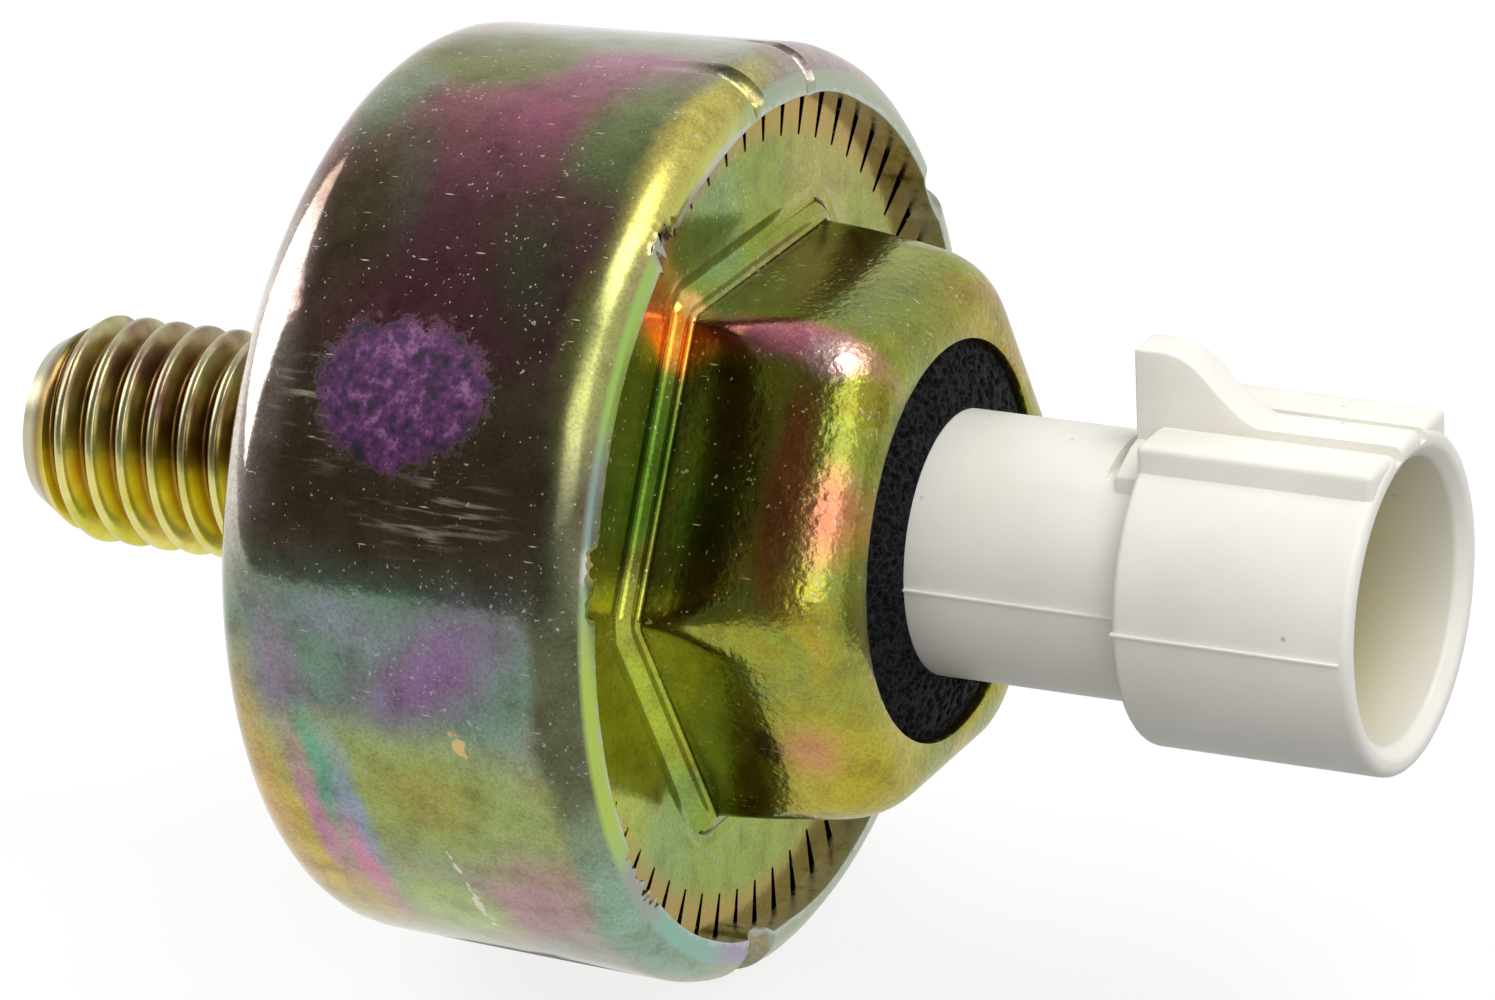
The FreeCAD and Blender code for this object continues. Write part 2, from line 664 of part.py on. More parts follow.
def make_terminal():
    """Brass blade with a shoulder in the resin and a tail that reaches the spring."""
    body = new_body("terminal")
    blank = new_sketch(body, "Blank", "XY_Plane")
    outline(blank, [
        ("tail_back", "-blade_width / 2"),
        ("shoulder_back", "-blade_width / 2"),
        ("shoulder_back", "-shoulder_width / 2"),
        ("pot_front", "-shoulder_width / 2"),
        ("pot_front", "-blade_width / 2"),
        ("blade_tip - blade_tip_taper", "-blade_width / 2"),
        ("blade_tip", "-blade_width / 4"),
        ("blade_tip", "blade_width / 4"),
        ("blade_tip - blade_tip_taper", "blade_width / 2"),
        ("pot_front", "blade_width / 2"),
        ("pot_front", "shoulder_width / 2"),
        ("shoulder_back", "shoulder_width / 2"),
        ("shoulder_back", "blade_width / 2"),
        ("tail_back", "blade_width / 2"),
    ])
    extruded(body, "Blade", blank, "blade_thickness", both=True)


def make_spring():
    """Hairpin leaf of spring bronze, welded to the tail and resting on the ceramic."""
    body = new_body("contact_spring")
    low = "piezo_front"
    fold = "piezo_front + spring_gap"
    face = "blade_thickness / 2"
    profile = new_sketch(body, "Strip", "XZ_Plane")
    outline(profile, [
        (low, "spring_foot"),
        (low, "spring_reach"),
        (f"{fold} + spring_thickness", "spring_reach"),
        (f"{fold} + spring_thickness", f"{face} + spring_thickness"),
        ("base_back - spring_weld_setback", f"{face} + spring_thickness"),
        ("base_back - spring_weld_setback", face),
        (fold, face),
        (fold, "spring_reach - spring_thickness"),
        (f"{low} + spring_thickness", "spring_reach - spring_thickness"),
        (f"{low} + spring_thickness", "spring_foot"),
    ])
    extruded(body, "Leaf", profile, "spring_width", both=True)


def make_lead(label, run, plane, level, side):
    """Round wire swept along an open outline, starting at one end of the resistor."""
    body = new_body(label)
    path = outline(new_sketch(body, "Path", plane, level), run, closed=False)
    section = new_sketch(body, "Section", "XZ_Plane", f"-({side}resistor_length / 2)")
    circle_outline(section, "resistor_axis", "-tab_middle", "lead_radius")
    doc.recompute()
    sweep = body.newObject("PartDesign::AdditivePipe", "Wire")
    sweep.Profile = section
    sweep.Spine = (path, [f"Edge{index + 1}" for index in range(path.GeometryCount)])


def make_resistor():
    """Shunt resistor in the space beside the tail, its axis along Y, and two bent leads."""
    body = new_body("resistor_body")
    can = new_sketch(body, "Round", "XZ_Plane")
    circle_outline(can, "resistor_axis", "-tab_middle", "resistor_radius")
    extruded(body, "Coat", can, "resistor_length", both=True)
    make_lead("resistor_lead_terminal", [
        ("resistor_length / 2", "-tab_middle"),
        ("lead_side - lead_bend", "-tab_middle", "lead_bend", 1),
        ("lead_side", "-tab_middle + lead_bend"),
        ("lead_side", "-tail_lead_drop - lead_bend", "lead_bend", 1),
        ("lead_side - lead_bend", "-tail_lead_drop"),
        ("-blade_width / 3", "-tail_lead_drop"),
    ], "YZ_Plane", "resistor_axis", "")
    make_lead("resistor_lead_ground", [
        ("resistor_axis", "-resistor_length / 2"),
        ("resistor_axis", "-lead_side + lead_bend", "lead_bend", -1),
        ("resistor_axis - lead_bend", "-lead_side"),
        ("tag_front + press_clearance", "-lead_side"),
    ], "XY_Plane", "-tab_middle", "-")


def make_solder():
    """Joint round the lead's foot on the ground tag, and a bead along the tail."""
    cone = new_body("solder_ground")
    foot = new_sketch(cone, "Foot", "YZ_Plane", "tag_front")
    circle_outline(foot, "-lead_side", "-tab_middle", "solder_radius")
    circle_outline(foot, "-lead_side", "-tab_middle", "lead_radius + press_clearance")
    extruded(cone, "Cone", foot, "solder_height")
    joint = new_body("solder_terminal")
    bead = new_sketch(joint, "Bead", "XZ_Plane")
    outline(bead, [
        ("resistor_axis - solder_radius", "-blade_thickness / 2"),
        ("resistor_axis - solder_radius / 2", "-blade_thickness / 2 - solder_bead"),
        ("resistor_axis + solder_radius / 2", "-blade_thickness / 2 - solder_bead"),
        ("resistor_axis + solder_radius", "-blade_thickness / 2"),
    ])
    circle_outline(bead, "resistor_axis", "-tail_lead_drop", "lead_radius + press_clearance")
    extruded(joint, "Drop", bead, "blade_width / 2", both=True)


make_stud()
make_shell()
make_rings()
make_ground_tag()
make_connector()
make_seals()
make_cover()
make_foam()
make_terminal()
make_spring()
make_resistor()
make_solder()
doc.recompute()

# Every feature solved, every piece one valid solid, then one file for each piece
for item in doc.Objects:
    if "Invalid" in item.State or "Error" in item.State:
        raise RuntimeError(f"{item.Label} failed: {item.State}")
pieces = [item for item in doc.Objects if item.TypeId == "PartDesign::Body"]
os.makedirs("parts", exist_ok=True)
for piece in pieces:
    if piece.Shape.isNull() or not piece.Shape.isValid() or len(piece.Shape.Solids) != 1:
        raise RuntimeError(f"{piece.Label} is not one valid solid")
for piece in pieces:
    piece.Shape.exportStep(f"parts/{piece.Label}.step")
    print(piece.Label, round(piece.Shape.Volume, 1), piece.Shape.BoundBox)
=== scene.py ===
import math
import bpy
import bmesh
from mathutils import Matrix, Vector, noise


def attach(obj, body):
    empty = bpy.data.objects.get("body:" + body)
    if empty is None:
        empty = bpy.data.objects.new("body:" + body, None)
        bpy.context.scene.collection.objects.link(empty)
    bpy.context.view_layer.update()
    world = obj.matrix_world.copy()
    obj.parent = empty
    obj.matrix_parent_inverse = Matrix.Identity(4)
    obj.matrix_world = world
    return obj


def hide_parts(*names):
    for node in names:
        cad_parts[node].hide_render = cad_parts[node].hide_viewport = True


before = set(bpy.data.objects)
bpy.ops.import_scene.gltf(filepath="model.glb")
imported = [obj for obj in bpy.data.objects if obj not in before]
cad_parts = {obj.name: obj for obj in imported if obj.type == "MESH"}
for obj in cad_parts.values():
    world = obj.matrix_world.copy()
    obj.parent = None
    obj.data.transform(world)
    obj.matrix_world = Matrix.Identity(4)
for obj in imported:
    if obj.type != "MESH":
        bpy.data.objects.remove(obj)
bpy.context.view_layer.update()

# Stud. An M10 x 1.5 screw end of steel, thread-rolled and then zinc plated with a golden
# chromate. It passes through the cup's floor with a collar and is welded there by its head.
mm = 0.001
stud_end = -17.5
stud_pitch = 1.5
stud_crest = 4.95
stud_root = 4.12
thread_start = -20.21
thread_turns = 15
turn_steps = 72
tip_radius = 3.6
chamfer_slope = 0.587


def linear(code):
    """Linear colour of an sRGB hex value."""
    parts = [int(code[start:start + 2], 16) / 255 for start in (0, 2, 4)]
    return [part / 12.92 if part < 0.04045 else ((part + 0.055) / 1.055) ** 2.4
            for part in parts] + [1.0]


def add(material, kind, links=None, ramp=None, **settings):
    """Adds a node. Each link gives an input a value or another node's output."""
    made = material.node_tree.nodes.new("ShaderNode" + kind)
    for name, value in settings.items():
        setattr(made, name, value)
    for number, (place, code) in enumerate(ramp or []):
        stops = made.color_ramp.elements
        stop = stops[number] if number < 2 else stops.new(place)
        stop.position = place
        stop.color = linear(code)
    for name, value in (links or {}).items():
        if isinstance(value, str):
            value = linear(value)
        if isinstance(value, bpy.types.NodeSocket):
            material.node_tree.links.new(value, made.inputs[name])
        else:
            made.inputs[name].default_value = value
    return made.outputs


def new_material(name):
    """A material, its shader and its Object coordinates."""
    material = bpy.data.materials.new(name)
    material.use_nodes = True
    return (material, material.node_tree.nodes["Principled BSDF"],
            add(material, "TexCoord")["Object"])


def feed(material, shader, **sockets):
    """Sets or links the shader's own sockets, such as Base_Color."""
    for name, value in sockets.items():
        socket = shader.inputs[name.replace("_", " ")]
        if isinstance(value, bpy.types.NodeSocket):
            material.node_tree.links.new(value, socket)
        else:
            socket.default_value = linear(value) if isinstance(value, str) else value


def off_axis(material, place):
    """Distance of a place from the X axis."""
    across = add(material, "VectorMath", {0: place, 1: (0, 1, 1)}, operation="MULTIPLY")
    return add(material, "VectorMath", {0: across["Vector"]}, operation="LENGTH")["Value"]


def turned(bm, corners, steps, rounding=6):
    """Spins a closed outline of (x, radius, corner radius) about the X axis."""
    verts = [bm.verts.new((x * mm, radius * mm, 0)) for x, radius, corner in corners]
    for pair in zip(verts, verts[1:] + verts[:1]):
        bm.edges.new(pair)
    for vert, (*_, corner) in zip(verts, corners):
        if corner:
            bmesh.ops.bevel(bm, geom=[vert], offset=corner * mm, offset_type="OFFSET",
                            segments=rounding, profile=0.5, affect="VERTICES", material=-1)
    outline = [item for item in bm.verts[:] + bm.edges[:] if not item.link_faces]
    bmesh.ops.spin(bm, geom=outline, cent=(0, 0, 0), axis=(1, 0, 0), angle=2 * math.pi,
                   steps=steps, use_merge=True)
    bmesh.ops.remove_doubles(bm, verts=bm.verts, dist=1e-7)
    # A side of the outline that lies on the axis leaves a bare edge there
    bmesh.ops.delete(bm, geom=[edge for edge in bm.edges if edge.is_wire], context="EDGES")


def finish_piece(name, bm, material, slot, *nodes, sharp=35):
    """Turns a bmesh into a piece: normals out, smooth with sharp edges, on the body."""
    bmesh.ops.recalc_face_normals(bm, faces=bm.faces)
    mesh = bpy.data.meshes.new(name)
    bm.to_mesh(mesh)
    bm.free()
    mesh.shade_smooth()
    mesh.set_sharp_from_angle(angle=math.radians(sharp))
    mesh.materials.append(material)
    piece = bpy.data.objects.new(name, mesh)
    bpy.context.scene.collection.objects.link(piece)
    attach(piece, "root")
    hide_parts(*nodes)
    return piece


# Half a thread's section from crest to root: mm along the axis and share of the depth
flank = [(0, 1), (0.1, 0.99), (0.18, 0.94), (0.25, 0.84), (0.32, 0.7), (0.44, 0.44),
         (0.56, 0.18), (0.62, 0.08), (0.68, 0.02)]
section = flank + [(stud_pitch / 2, 0)] + [
    (stud_pitch - step, rise) for step, rise in reversed(flank)]
thread = bmesh.new()
profile = [
    thread.verts.new(((thread_start + step) * mm,
                      (stud_root + (stud_crest - stud_root) * rise) * mm, 0))
    for step, rise in section]
runs = [thread.edges.new(pair) for pair in zip(profile, profile[1:])]
bmesh.ops.spin(thread, geom=profile + runs, cent=(0, 0, 0), axis=(1, 0, 0),
               dvec=(stud_pitch / turn_steps * mm, 0, 0), angle=2 * math.pi * thread_turns,
               steps=turn_steps * thread_turns)
bmesh.ops.remove_doubles(thread, verts=thread.verts, dist=2e-6)
for vert in thread.verts:
    # The chamfer rolled on the tip cuts the crests down to its cone
    reach = math.hypot(vert.co.y, vert.co.z)
    cone = max(tip_radius + (vert.co.x / mm - stud_end) * chamfer_slope, 3.0) * mm
    if reach > cone:
        vert.co.y *= cone / reach
        vert.co.z *= cone / reach
for place, side in ((stud_end, -1), (-0.35, 1)):
    cut = bmesh.ops.bisect_plane(
        thread, geom=thread.verts[:] + thread.edges[:] + thread.faces[:],
        plane_co=(place * mm, 0, 0), plane_no=(side, 0, 0), clear_outer=True)
    rim = [item for item in cut["geom_cut"] if isinstance(item, bmesh.types.BMEdge)]
    bmesh.ops.holes_fill(thread, edges=rim, sides=0)
turned(thread, [(-0.45, 0, 0), (-0.45, 4.6, 0.1), (0, 4.6, 0), (0, 5.5, 0), (2, 5.5, 0),
                (2, 8, 0), (3.9, 8, 0.3), (3.9, 0, 0)], 96, 3)

# Golden chromate on rolled steel: yellow-green below; the plum and brown on the upper side are a
# painted reflection of the dark curtain
stud_finish, surface, place = new_material("golden_chromate_on_rolled_steel")
cloud = add(stud_finish, "TexNoise", {"Vector": place, "Scale": 1 / (3 * mm), "Detail": 3})
below = add(stud_finish, "ValToRGB", {"Fac": cloud["Fac"]}, ramp=[
    (0.32, "C0B430"), (0.46, "D8D050"), (0.58, "E8E080"), (0.7, "E0C050")])
painted_reflection_above = add(stud_finish, "ValToRGB", {"Fac": cloud["Fac"]}, ramp=[
    (0.32, "80645A"), (0.43, "988866"), (0.56, "B4AC84"), (0.7, "8E9460")])
# Painted reflection: the colour turns plum and brown over the upper side
parts = add(stud_finish, "SeparateXYZ", {"Vector": place})
rise = add(stud_finish, "MapRange", {"Value": parts["Z"], "From Min": -0.6 * mm,
                                     "From Max": 2.6 * mm})
colour = add(stud_finish, "Mix", {"Factor": rise["Result"], 6: below["Color"],
                                  7: painted_reflection_above["Color"]}, data_type="RGBA")
# Painted shade: the thread's roots are darkened towards brown, and only the crests keep their
# full colour
height = add(stud_finish, "MapRange", {
    "Value": off_axis(stud_finish, place), "From Min": stud_root * mm,
    "From Max": stud_crest * mm})
depth = add(stud_finish, "ValToRGB", {"Fac": height["Result"]}, ramp=[
    (0.0, "A8886C"), (0.3, "E8D8A8"), (0.7, "FFFFF0"), (0.97, "FFFFFF")])
colour = add(stud_finish, "Mix", {"Factor": 1.0, 6: colour[2], 7: depth["Color"]},
             data_type="RGBA", blend_type="MULTIPLY")
# The crests and the tip's cone have rubbed on other parts and gone pale
rubbed = add(stud_finish, "MapRange", {"Value": height["Result"], "From Min": 0.96,
                                       "From Max": 1.0, "To Max": 0.5})
tip = add(stud_finish, "MapRange", {"Value": parts["X"], "From Min": -16.5 * mm,
                                    "From Max": -17.0 * mm, "To Max": 0.75})
rubbed = add(stud_finish, "Math", {0: rubbed["Result"], 1: tip["Result"]},
             operation="MAXIMUM")
colour = add(stud_finish, "Mix", {"Factor": rubbed[0], 6: colour[2], 7: "C4C2A4"},
             data_type="RGBA")
grain = add(stud_finish, "TexNoise", {"Vector": place, "Scale": 1 / (0.25 * mm), "Detail": 3})
dints = add(stud_finish, "Bump", {"Height": grain["Fac"], "Distance": 0.012 * mm,
                                  "Strength": 0.5})
feed(stud_finish, surface, Base_Color=colour[2], Metallic=1.0, Roughness=0.26,
     Normal=dints["Normal"])
finish_piece("stud_with_rolled_thread", thread, stud_finish, "plated_stud", "stud", sharp=40)

# Cup. A deep-drawn steel cup, zinc plated with a rainbow chromate. Its lip is rolled in over
# the cover's flange and pinched down at a few places, where the plating has cracked.
cup_steps = 960
lip_start = 14.2
lip_front = 16.05
cup_corners = [
    (0, 5.53, 0), (0, 19.36, 2.4), (16.2, 19.93, 1.0), (17.18, 18.72, 0.3), (17.3, 17.9, 0.12),
    (16.0, 17.9, 0), (16.0, 18.65, 0), (2.0, 18.13, 0.9), (2.0, 5.53, 0)]
# Angle from +Y towards +Z in degrees, half width and depth in mm of each pinch mark
pinches = [(30, 1.3, 0.5), (77, 0.4, 0.35), (92, 0.5, 0.5), (257, 1.2, 1.7), (304, 1.0, 0.4),
           (347, 0.8, 0.3)]
# Places where the lip's inner edge has chipped away: angle, half width and depth in mm
chips = [(122, 1.1, 1.2), (168, 1.3, 0.6), (215, 1.8, 0.4), (219, 0.8, 0.6)]
cup = bmesh.new()
turned(cup, cup_corners, cup_steps)
for edge_place in (3, 6, 9, 12, 14):
    bmesh.ops.bisect_plane(cup, geom=cup.verts[:] + cup.edges[:] + cup.faces[:],
                           plane_co=(edge_place * mm, 0, 0), plane_no=(1, 0, 0))
for vert in cup.verts:
    x, y, z = vert.co / mm
    radius = math.hypot(y, z)
    angle = math.degrees(math.atan2(z, y)) % 360
    if x > lip_start and radius > 17.85:
        push = 0
        for middle, half_width, depth in pinches:
            aside = (angle - middle + 180) % 360 - 180
            aside = abs(math.radians(aside) * radius) / half_width
            if aside < 1:
                push = max(push, depth * (1 - aside ** 2) ** 0.6)
        gone = 0
        for middle, half_width, depth in chips:
            aside = (angle - middle + 180) % 360 - 180
            aside = abs(math.radians(aside) * radius) / half_width
            gone = max(gone, depth * max(0, min(1, (1.25 - aside) / 0.25)))
        # From 93 to 120 degrees the lip was struck flatter, and its edge driven inwards
        struck = max(0, min(1, (angle - 93) / 5, (120.6 - angle) / 0.5))
        # The rolled lip is never quite even, and its inner edge wanders
        swirl = Vector((3 * math.cos(math.radians(angle)), 3 * math.sin(math.radians(angle)),
                        x / 3))
        wave = abs(noise.noise(swirl))
        tear = 0.5 + noise.noise(swirl * 22)
        shoulder = max(0, min(1, (x - lip_start) / 1.6))
        shoulder *= max(0.25, min(1, (radius - 17.6) / 1.2))
        rim = max(0, min(1, (19.0 - radius) / 1.1))
        front = max(0, min(1, (x - lip_front) / 0.8))
        radius += rim * (0.3 * wave + gone * tear - 0.4 * struck)
        radius -= (push * 0.75 + 0.06 * wave) * shoulder
        if x > lip_front or radius > 18.8:
            x -= (push * 0.75 + 0.06 * wave) * shoulder
            x -= front * rim * (0.35 * struck + 0.3 * min(0.5, gone) * tear)
        turn = math.radians(angle)
        vert.co = Vector((x, radius * math.cos(turn), radius * math.sin(turn))) * mm


def cylinder_place(material, place, bend):
    """Coordinates round the axis: x in mm and the angle in degrees, edges bent by noise."""
    turned_place = add(material, "Mapping", {
        "Vector": place, "Rotation": (math.radians(-150), 0, 0)})
    parts = add(material, "SeparateXYZ", {"Vector": turned_place["Vector"]})
    angle = add(material, "Math", {0: parts["Z"], 1: parts["Y"]}, operation="ARCTAN2")
    degrees = add(material, "Math", {0: angle[0], 1: 180 / math.pi, 2: 150.0},
                  operation="MULTIPLY_ADD")
    along = add(material, "Math", {0: parts["X"], 1: 1000.0}, operation="MULTIPLY")
    flat = add(material, "CombineXYZ", {"X": along[0], "Y": degrees[0]})
    drift = add(material, "TexNoise", {"Vector": place, "Scale": 1 / (4 * mm), "Detail": 4,
                                       "Roughness": 0.6})
    shift = add(material, "VectorMath", {0: drift["Color"], 1: (0.5, 0.5, 0.5)},
                operation="SUBTRACT")
    return add(material, "VectorMath", {0: shift[0], 1: bend, 2: flat[0]},
               operation="MULTIPLY_ADD")[0]


def off_spot(material, spot, x, angle, wide, high):
    """How far a spot lies from an ellipse's centre: 1 on its edge. Half width in mm and half
    height in degrees."""
    near = add(material, "VectorMath", {
        0: spot, 1: (1 / wide, 1 / high, 0), 2: (-x / wide, -angle / high, 0)},
        operation="MULTIPLY_ADD")
    return add(material, "VectorMath", {0: near[0]}, operation="LENGTH")["Value"]


def patched(material, start, spot, patches):
    """Lays soft patches over a colour: (x, angle, half x, half angle, colour, soft edge,
    lean in degrees per mm)."""
    colour = start
    for x, angle, reach, turn, code, soft, *lean in patches:
        lean = lean[0] if lean else 0
        tilted = spot
        if lean:
            ahead = add(material, "SeparateXYZ", {"Vector": spot})
            shift = add(material, "Math", {0: ahead["X"], 1: -lean, 2: x * lean},
                        operation="MULTIPLY_ADD")
            slid = add(material, "CombineXYZ", {"Y": shift[0]})
            tilted = add(material, "VectorMath", {0: spot, 1: slid[0]}, operation="ADD")[0]
        share = add(material, "MapRange", {
            "Value": off_spot(material, tilted, x, angle, reach, turn),
            "From Min": 1 + soft, "From Max": 1 - soft}, interpolation_type="SMOOTHSTEP")
        colour = add(material, "Mix", {"Factor": share["Result"], 6: colour, 7: code},
                     data_type="RGBA")[2]
    return colour


def dusted(material, place, kinds):
    """How much dust or scuffing lies at a place: filled cells of stretched patterns."""
    dust = 0.0
    for stretch, spread, size in kinds:
        bent = add(material, "VectorMath", {0: place, 1: stretch}, operation="MULTIPLY")
        cells = add(material, "TexVoronoi", {"Vector": bent[0], "Scale": 1.0})
        luck = add(material, "SeparateColor", {"Color": cells["Color"]})
        chosen = add(material, "MapRange", {"Value": luck["Red"], "From Min": 1 - spread,
                                            "From Max": 1 - spread / 2})
        dot = add(material, "MapRange", {"Value": cells["Distance"], "From Min": size,
                                         "From Max": size * 0.4})
        dust = add(material, "Math", {0: chosen["Result"], 1: dot["Result"], 2: dust},
                   operation="MULTIPLY_ADD", use_clamp=True)[0]
    return dust


def chromate(name, base, patches, bend):
    """Rainbow chromate on zinc: a thin film whose tint drifts over a bright metal."""
    material, shader, place = new_material(name)
    cloud = add(material, "TexNoise", {"Vector": place, "Scale": 1 / (7 * mm), "Detail": 4,
                                       "Distortion": 0.8})
    start = add(material, "ValToRGB", {"Fac": cloud["Fac"]}, ramp=base)
    spot = cylinder_place(material, place, bend)
    colour = patched(material, start["Color"], spot, patches)
    # Unevenness of the film over a millimetre or two
    drift = add(material, "TexNoise", {"Vector": place, "Scale": 1 / (1.6 * mm), "Detail": 5,
                                       "Roughness": 0.65})
    shade = add(material, "ValToRGB", {"Fac": drift["Fac"]}, ramp=[
        (0.3, "C8BCB4"), (0.5, "EEECE4"), (0.68, "FFFFFF")])
    colour = add(material, "Mix", {"Factor": 0.8, 6: colour, 7: shade["Color"]},
                 data_type="RGBA", blend_type="MULTIPLY")[2]
    # Crystals of the zinc show through the film as a fine pepper, drawn 0.15 mm wide
    pepper = add(material, "TexNoise", {"Vector": place, "Scale": 1 / (0.15 * mm), "Detail": 2})
    speckle = add(material, "ValToRGB", {"Fac": pepper["Fac"]}, ramp=[
        (0.36, "8C8478"), (0.48, "DCD8CC"), (0.6, "FFFFFF")])
    colour = add(material, "Mix", {"Factor": 0.28, 6: colour, 7: speckle["Color"]},
                 data_type="RGBA", blend_type="MULTIPLY")[2]
    # Dust and handling marks, drawn a tenth of a millimetre wide so that they show
    grit = add(material, "TexNoise", {"Vector": place, "Scale": 1 / (0.22 * mm), "Detail": 1})
    settled = add(material, "TexNoise", {"Vector": place, "Scale": 1 / (3 * mm), "Detail": 4})
    lying = add(material, "Math", {0: settled["Fac"], 1: 0.35, 2: grit["Fac"]},
                operation="MULTIPLY_ADD")
    grains = add(material, "MapRange", {"Value": lying[0], "From Min": 0.875,
                                        "From Max": 0.95, "To Max": 0.7})
    marks = dusted(material, place, [
        ((900, 900, 900), 0.25, 0.07), ((380, 2900, 2900), 0.45, 0.11),
        ((2600, 600, 2100), 0.45, 0.1)])
    dust = add(material, "Math", {0: grains["Result"], 1: marks}, operation="MAXIMUM")[0]
    return material, shader, place, spot, colour, dust


# Rainbow chromate on a drawn wall: olive and plum round the top, violet and green below
cup_finish, surface, place, spot, colour, dust = chromate(
    "rainbow_chromate_on_drawn_steel", [
        (0.30, "9AA078"), (0.42, "A8A878"), (0.5, "A09682"), (0.6, "94A28A"),
        (0.72, "9A8680")], [
        (9.0, 70, 14, 15, "BCA8AC", 0.8),
        (10.5, 84, 5.0, 8, "9CA088", 0.5),
        (11.5, 97, 3.6, 9, "B07A90", 0.4),
        (9.0, 112, 10.0, 15, "95646F", 0.4),
        (5.5, 93, 3.6, 9, "7E824A", 0.35),
        (2.6, 106, 1.4, 9, "8C9A84", 0.6),
        (14.2, 112, 2.2, 17, "7C8C5E", 0.6),
        (9.0, 133, 10.0, 15, "8A606A", 0.4),
        (5.5, 120, 1.2, 8, "847C78", 0.7, 3),
        (12.6, 131, 1.8, 7, "767662", 0.9, 2),
        (9.5, 107, 1.4, 4, "A06078", 0.8),
        (4.0, 124, 1.6, 14, "7C7258", 0.8),
        (9.0, 158, 9.0, 14, "7C6C58", 0.4),
        (8.5, 180, 9.0, 11, "6E8A7A", 0.4),
        (10.5, 181, 3.4, 6, "84688E", 0.9, -1.5),
        (6.5, 176, 2.2, 3, "808890", 0.7),
        (3.4, 184, 1.3, 8, "8A8292", 0.8, 3),
        (8.0, 200, 9.0, 10, "98AA68", 0.5),
        (9.3, 199, 2.4, 5, "9C9A50", 0.8),
        (4.6, 200, 0.8, 9, "6CA890", 0.7, 6),
        (5.6, 206, 0.7, 11, "8C9CB0", 0.7, 6),
        (12.2, 219, 3.6, 8, "B48C94", 0.7, -1.5),
        (3.6, 208, 0.7, 12, "C088A8", 0.8, 6),
        (5.4, 216, 0.8, 9, "CC88A0", 0.7, 5),
        (8.4, 222, 2.4, 8, "A8C070", 0.6),
        (2.6, 216, 0.9, 14, "CCBC50", 0.7, 5),
        (4.4, 226, 0.9, 9, "C8A860", 0.7, 4),
        # Painted highlight: a near-white strip on the rounded edge of the cup's base, from about
        # 126 to 166 degrees
        (1.2, 146, 1.6, 20, "EADFDA", 0.6),
        (1.2, 212, 1.4, 24, "CCAC6C", 0.6),
        (16.4, 108, 1.0, 22, "C8C068", 0.5),
        # Painted dark reflection: a dark grey-green band on the lower part of the rolled
        # shoulder
        (16.3, 178, 1.1, 28, "62664F", 0.5),
        (16.2, 139, 1.1, 13, "A4A868", 0.6),
        (16.6, 225, 1.2, 22, "90B09C", 0.5),
    ], (1.8, 7.0, 0))
# Worn edge: the chromate is rubbed through to grey zinc along the lip's inner rim
fray = add(cup_finish, "TexNoise", {"Vector": place, "Scale": 1 / (0.6 * mm), "Detail": 4})
edge = add(cup_finish, "Math", {0: fray["Fac"], 1: 0.9 * mm, 2: off_axis(cup_finish, place)},
           operation="MULTIPLY_ADD")
worn = add(cup_finish, "MapRange", {"Value": edge[0], "From Min": 18.62 * mm,
                                    "From Max": 18.42 * mm, "To Max": 0.8})
ahead = add(cup_finish, "SeparateXYZ", {"Vector": place})
front = add(cup_finish, "MapRange", {"Value": ahead["X"], "From Min": 16.95 * mm,
                                     "From Max": 17.1 * mm, "To Max": 0.9})
# The face of the lip has a tint of its own, dull where it is pinched or torn, with painted shade
# in the gap of the tear at 121 degrees
lip_face_tint_and_shade = patched(cup_finish, linear("A0AC94"), spot, [
    (17, 112, 4, 16, "B4BC4C", 0.6), (17, 140, 4, 14, "9CC060", 0.6),
    (17, 162, 4, 10, "8CA098", 0.6), (17, 192, 4, 20, "ACC458", 0.5),
    (17, 235, 4, 20, "88B4A4", 0.6), (17, 250, 4, 6, "A494B0", 0.7),
    # Painted shade: a near-black strip in the tear's gap
    (17, 121, 4, 1.4, "24241A", 0.4), (17, 124, 4, 1.6, "A0A298", 0.5),
    (17, 166, 4, 2.2, "C8CCC0", 0.5), (17, 217, 4, 6, "9C9E98", 0.4),
    (17, 257, 4, 4, "94968C", 0.5)])
colour = add(cup_finish, "Mix", {"Factor": front["Result"], 6: colour, 7: lip_face_tint_and_shade},
             data_type="RGBA")[2]
front = add(cup_finish, "Math", {0: ahead["X"], 1: 15.9 * mm}, operation="GREATER_THAN")
worn = add(cup_finish, "Math", {0: worn["Result"], 1: front[0]}, operation="MULTIPLY")
colour = add(cup_finish, "Mix", {"Factor": worn[0], 6: colour, 7: "BEC0BA"},
             data_type="RGBA")[2]
# Two short scrapes: one gold, where the film is thin, and one through to pale zinc
for *ellipse, code in ((11.5, 190, 0.7, 1.9, "D8B478"), (9.8, 218, 0.16, 11, "DCD4CC")):
    scratch = add(cup_finish, "Math", {
        0: fray["Fac"], 1: 2.4, 2: off_spot(cup_finish, spot, *ellipse)},
        operation="MULTIPLY_ADD")
    mark = add(cup_finish, "MapRange", {"Value": scratch[0], "From Min": 2.0, "From Max": 1.8,
                                        "To Max": 0.7})
    colour = add(cup_finish, "Mix", {"Factor": mark["Result"], 6: colour, 7: code},
                 data_type="RGBA")[2]
